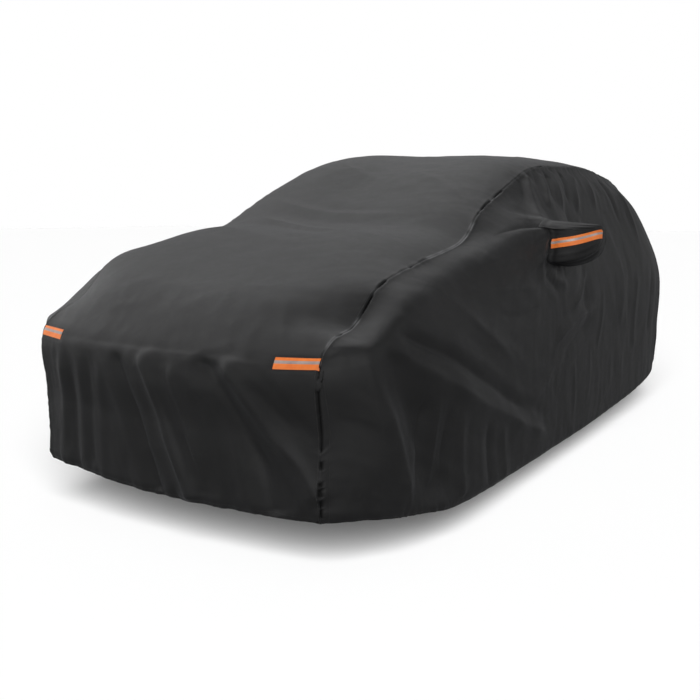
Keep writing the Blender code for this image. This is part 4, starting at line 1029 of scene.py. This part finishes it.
# ------------------------------------------------------------------ mirror pockets
POCKET_AT = np.concatenate([np.linspace(0.05, 6.0, 50), np.linspace(6.06, 6.33, 6)])
for side, suffix in ((1, "right"), (-1, "left")):
    sign = np.array([side, 1, 1])
    ids = side_ids[side]
    loop_ids = np.concatenate(
        [
            ids[start, hole_top:hole_bottom],
            ids[start:stop, hole_bottom],
            ids[stop, hole_bottom:hole_top:-1],
            ids[stop:start:-1, hole_top],
        ]
    )
    loop, out = Q[loop_ids] + CARRIED_AT, N2[loop_ids]
    edge = np.cross(np.roll(loop, -1, axis=0) - loop, out)
    edge /= np.linalg.norm(edge, axis=1)[:, None]
    edge *= np.sign((edge * (loop.mean(axis=0) - loop)).sum())
    before = np.roll(edge, 1, axis=0)
    inward = (edge + before) / (1 + (edge * before).sum(axis=1))[:, None]
    middle = loop.mean(axis=0)
    tip = np.array(POCKET_TIP) * sign
    bulge = np.array(POCKET_BULGE) * sign
    root = loop + 0.0008 * inward
    rings = [root - 0.004 * out, root + 0.002 * out]
    for k in POCKET_AT:
        part = k / (TIP_RINGS + 0.35)
        travel = np.sin(part * np.pi / 2) ** 1.15
        size = max(1 - part**2.6, 0) ** 0.5
        centre_at = middle + (tip - middle) * travel + bulge * 4 * travel * (1 - travel)
        flat = np.array([1 - travel, size * (1 - 0.45 * travel), size])
        ring = (root - middle) * flat
        ring[:, 2] *= np.where(ring[:, 2] > 0, 1 - POCKET_FALL * travel, 1)
        ring += centre_at
        lift = ease(1 - k / 0.7)
        rings.append(ring + lift * 0.003 * out)
    grid = np.array(rings)
    ring_count, around = grid.shape[:2]
    ring_ids = np.arange(ring_count * around).reshape(ring_count, around)
    closed = np.concatenate([ring_ids, ring_ids[:, :1]], axis=1)
    quads = cells(closed).reshape(-1, 4)
    skin = np.concatenate([grid.reshape(-1, 3), [tip + (grid[-1].mean(axis=0) - tip) * 0.6]])
    last_ring = ring_ids[-1]
    fan = np.stack([last_ring, last_ring, np.full(around, len(skin) - 1), np.roll(last_ring, -1)], axis=1)
    turned = vertex_normals(skin, np.concatenate([quads, fan]))
    if (turned[ring_ids[4:-4]] * (skin[ring_ids[4:-4]] - middle)).sum() < 0:
        quads, fan, turned = quads[:, ::-1], fan[:, [0, 3, 2, 1]], -turned
    # folds of the pocket: puckers from its seam, a soft crease down its front, slack below
    turn = np.linspace(0, 2 * np.pi, around, endpoint=False)
    seed = 201 if side > 0 else 211
    ring_of = np.concatenate([[-2, -1], POCKET_AT])[:, None]
    circle = np.stack(np.broadcast_arrays(np.cos(turn)[None, :] * 2.6, np.sin(turn)[None, :] * 2.6, ring_of * 0.28), axis=-1).reshape(-1, 3)
    lift = 0.0030 * (1 - 2.4 * np.sqrt(noise(circle, seed) ** 2 + 0.01)) * ease(ring_of.repeat(around, 1).ravel() / 0.8)
    circle_fine = circle * np.array([2.6, 2.6, 1.2])
    lift += 0.0014 * (1 - 2.4 * np.sqrt(noise(circle_fine, seed + 1) ** 2 + 0.02)) * np.exp(-np.abs(ring_of - 0.9).repeat(around, 1).ravel() / 1.3)
    lift *= ease((6.4 - ring_of.repeat(around, 1).ravel()) / 1.2)
    skin[:-1] += turned[:-1] * lift[:, None]
    skin[:-1] -= turned[:-1] * (0.0030 * np.exp(-(((ring_of.repeat(around, 1).ravel() - 0.45) / 0.16) ** 2)))[:, None]
    turned = vertex_normals(skin, np.concatenate([quads, fan]))
    turned[ring_ids[:2].ravel()] = -np.concatenate([inward, inward])
    inner = skin - 0.0022 * turned
    n = len(skin)
    caps = fan[:, 1:] if True else fan
    caps = np.array([[f[0], f[2], f[3]] if f[0] == f[1] else [f[0], f[1], f[2]] for f in fan.tolist()])
    ends = np.concatenate([quads[:, [k, (k + 1) % 4]] for k in range(4)] + [caps[:, [k, (k + 1) % 3]] for k in range(3)])
    known = {tuple(e) for e in ends.tolist()}
    rim = np.array([(b, a, a + n, b + n) for a, b in ends.tolist() if (b, a) not in known])
    metric = run_along(np.concatenate([grid, grid[:, :1]], axis=1), 1)[:, :-1]
    height = run_along(grid, 0)
    uv = np.concatenate([np.stack([metric.ravel(), height.ravel()], axis=1), [[0, height.max()]]])
    wear_here = np.concatenate([np.exp(-np.abs(ring_of - 0.3) / 0.8).repeat(around, 1).ravel() * 0.5, [0.1]])
    pocket = make_piece(
        "cloth_mirror_pocket_" + suffix,
        np.concatenate([skin, inner]) - CARRIED_AT,
        [quads, quads[:, ::-1] + n, caps, caps[:, ::-1] + n, rim],
        POCKET,
        np.concatenate([uv, uv]),
        np.concatenate([wear_here, wear_here]),
    )
    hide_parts("mirror_pocket_" + suffix)

    # the strip over the pocket's front, a tape of nearly even width, and the stitches round its root
    down_at = DOWN[hole_top:hole_bottom]
    columns = np.arange(len(down_at))
    ring_rows = np.nonzero((ring_of[:, 0] > 0.1) & (ring_of[:, 0] <= 6.01))[0]
    out_share = ring_of[ring_rows, 0] / 6
    front_ids = ring_ids[np.ix_(ring_rows, columns)]
    down_run = run_along(skin[front_ids], 1)
    middle_run = np.array([np.interp(sum(POCKET_STRIP) / 2, down_at, run) for run in down_run])
    middle_run -= POCKET_STRIP_RISE * np.sin(np.pi * out_share)
    half_width = (POCKET_STRIP_WIDTH[0] + (POCKET_STRIP_WIDTH[1] - POCKET_STRIP_WIDTH[0]) * out_share) / 2
    share = np.linspace(1, 0, 11)
    tape_run = middle_run[:, None] + half_width[:, None] * (1 - 2 * share[None, :])
    tape_run = np.clip(tape_run, 0.04 * down_run[:, -1:], 0.96 * down_run[:, -1:])
    place = np.array([np.interp(wanted, run, columns) for wanted, run in zip(tape_run, down_run)])
    first = np.minimum(place.astype(int), len(columns) - 2)
    part_way = (place - first)[..., None]
    ids_a, ids_b = np.take_along_axis(front_ids, first, 1), np.take_along_axis(front_ids, first + 1, 1)
    tape_at = skin[ids_a] * (1 - part_way) + skin[ids_b] * part_way - CARRIED_AT
    tape_out = turned[ids_a] * (1 - part_way) + turned[ids_b] * part_way
    tape_out /= np.linalg.norm(tape_out, axis=2)[..., None]
    length = np.take_along_axis(height[np.ix_(ring_rows, columns)], first, 1)
    block = np.arange(place.size).reshape(place.shape)
    strip = ribbon(
        "tape_strip_mirror_" + suffix,
        block,
        tape_at.reshape(-1, 3),
        tape_out.reshape(-1, 3),
        0.0009,
        0.0018,
        TAPE,
        np.stack([length.ravel(), np.broadcast_to(share, place.shape).ravel()], axis=1),
    )
    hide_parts("strip_mirror_" + suffix)
    for k, column in enumerate((1, -2)):
        line, line_out = tape_at[:, column], tape_out[:, column]
        thread = tidy_dashes(f"stitch_mirror_{suffix}_{k}", line + 0.0020 * line_out, line_out, ORANGE_THREAD, 0.0034, 0.0014, 0.0006)
        with_sheet.setdefault("strip_mirror_" + suffix, []).append(thread)
    around_root = ids[start - 1 : stop + 2, hole_top - 1 : hole_bottom + 2]
    ring_line = np.concatenate([around_root[0, :-1], around_root[:-1, -1], around_root[-1, :0:-1], around_root[:0:-1, 0], around_root[0, :1]])
    thread = tidy_dashes("stitch_pocket_" + suffix, Q[ring_line], N2[ring_line], THREAD, 0.0044, 0.0020, 0.0009)
    with_sheet.setdefault("mirror_pocket_" + suffix, []).append(thread)

# ------------------------------------------------------------------ stage, light, camera
FLOOR_Z = -CARRIED_AT[2]
scene = bpy.context.scene
floor_mesh = bpy.data.meshes.new("floor")
R = 60.0
floor_mesh.from_pydata([(-R, -R, FLOOR_Z), (R, -R, FLOOR_Z), (R, R, FLOOR_Z), (-R, R, FLOOR_Z)], [], [(0, 1, 2, 3)])
floor = bpy.data.objects.new("floor", floor_mesh)
scene.collection.objects.link(floor)
floor_material, nodes, links, shader = new_material("pale_floor")
shader.inputs["Base Color"].default_value = (0.88, 0.88, 0.88, 1)
shader.inputs["Emission Color"].default_value = (1, 1, 1, 1)
shader.inputs["Emission Strength"].default_value = 0.05
shader.inputs["Roughness"].default_value = 0.9
shader.inputs["Specular IOR Level"].default_value = 0.1
floor_mesh.materials.append(floor_material)
floor.visible_diffuse = floor.visible_glossy = False  # its light on the cloth comes from the world's lower half
floor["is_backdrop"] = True

world = bpy.data.worlds.new("soft_studio")
scene.world = world
world.use_nodes = True
nodes, links = world.node_tree.nodes, world.node_tree.links
background = nodes["Background"]
way = nodes.new("ShaderNodeTexCoord")
height = nodes.new("ShaderNodeSeparateXYZ")
links.new(way.outputs["Generated"], height.inputs[0])
level = nodes.new("ShaderNodeMapRange")
level.inputs["From Min"].default_value, level.inputs["From Max"].default_value = -1.0, 1.0
links.new(height.outputs["Z"], level.inputs["Value"])
ramp = nodes.new("ShaderNodeValToRGB")
ramp.color_ramp.interpolation = "LINEAR"
for k, (place, grey) in enumerate(((0.0, 0.12), (0.485, 0.12), (0.515, 0.13), (0.66, 0.12), (0.70, 0.05))):
    element = ramp.color_ramp.elements[k] if k < 2 else ramp.color_ramp.elements.new(place)
    element.position, element.color = place, (grey, grey, grey, 1)
links.new(level.outputs[0], ramp.inputs["Fac"])
links.new(ramp.outputs["Color"], background.inputs["Color"])
background.inputs["Strength"].default_value = 1.0
white = nodes.new("ShaderNodeBackground")
white.inputs["Color"].default_value, white.inputs["Strength"].default_value = (1, 1, 1, 1), 1.0
seen = nodes.new("ShaderNodeLightPath")
mix = nodes.new("ShaderNodeMixShader")
links.new(seen.outputs["Is Camera Ray"], mix.inputs["Fac"])
links.new(background.outputs[0], mix.inputs[1])
links.new(white.outputs[0], mix.inputs[2])
links.new(mix.outputs[0], nodes["World Output"].inputs["Surface"])


def only_for(name, state):
    """The floor, as something that a light falls on, or passes over."""
    group = bpy.data.collections.new(name)
    group.objects.link(floor)
    group.collection_objects[0].light_linking.link_state = state
    return group


on_floor, past_floor = only_for("on_floor", "INCLUDE"), only_for("past_floor", "EXCLUDE")


def soft_sun(name, towards, strength, angle, group):
    """Light from far off, spread over a wide angle, that falls the same everywhere."""
    data = bpy.data.lights.new(name, "SUN")
    data.energy, data.angle = strength, math.radians(angle)
    light = bpy.data.objects.new(name, data)
    light.rotation_mode = "QUATERNION"
    light.rotation_quaternion = Vector(towards).to_track_quat("-Z", "Y")
    light.location = (0, 0, 4)
    scene.collection.objects.link(light)
    light.light_linking.receiver_collection = group


for name, towards, strength, angle in (
    ("behind", (0.28, -0.54, -0.80), 0.86, 44),
    ("overhead", (0.0, 0.0, -1.0), 0.14, 36),
    ("from_left", (0.70, -0.10, -0.72), 0.98, 36),
    ("front_left", (0.70, 0.70, -0.30), 0.90, 28),
    ("front_right", (-0.62, 0.72, -0.30), 1.76, 24),
    ("from_right", (-0.85, -0.40, -0.26), 0.42, 30),
    ("far_side", (0.97, -0.06, -0.22), 0.60, 40),
    ("rear", (-0.22, -0.96, -0.16), 0.10, 40),
):
    soft_sun(name, towards, strength, angle, past_floor)
soft_sun("floor_light", (-0.45, 0.70, -0.55), 5.9, 50, on_floor)  # its shadow stays close to the hem

camera_data = bpy.data.cameras.new("camera")
camera_data.sensor_width, camera_data.lens = 36.0, 46.03
camera_data.clip_start, camera_data.clip_end = 0.05, 300
camera = bpy.data.objects.new("camera", camera_data)
azimuth, elevation = math.radians(32.63), math.radians(8.74)
back = Vector((math.sin(azimuth) * math.cos(elevation), -math.cos(azimuth) * math.cos(elevation), math.sin(elevation)))
camera.location = Vector((2.455, -4.718, 1.301)) - Vector(CARRIED_AT)
camera.rotation_mode = "QUATERNION"
camera.rotation_quaternion = (-back).to_track_quat("-Z", "Y")
scene.collection.objects.link(camera)
scene.camera = camera

scene.view_settings.view_transform = "Standard"
scene.view_settings.look = "None"

low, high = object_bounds()
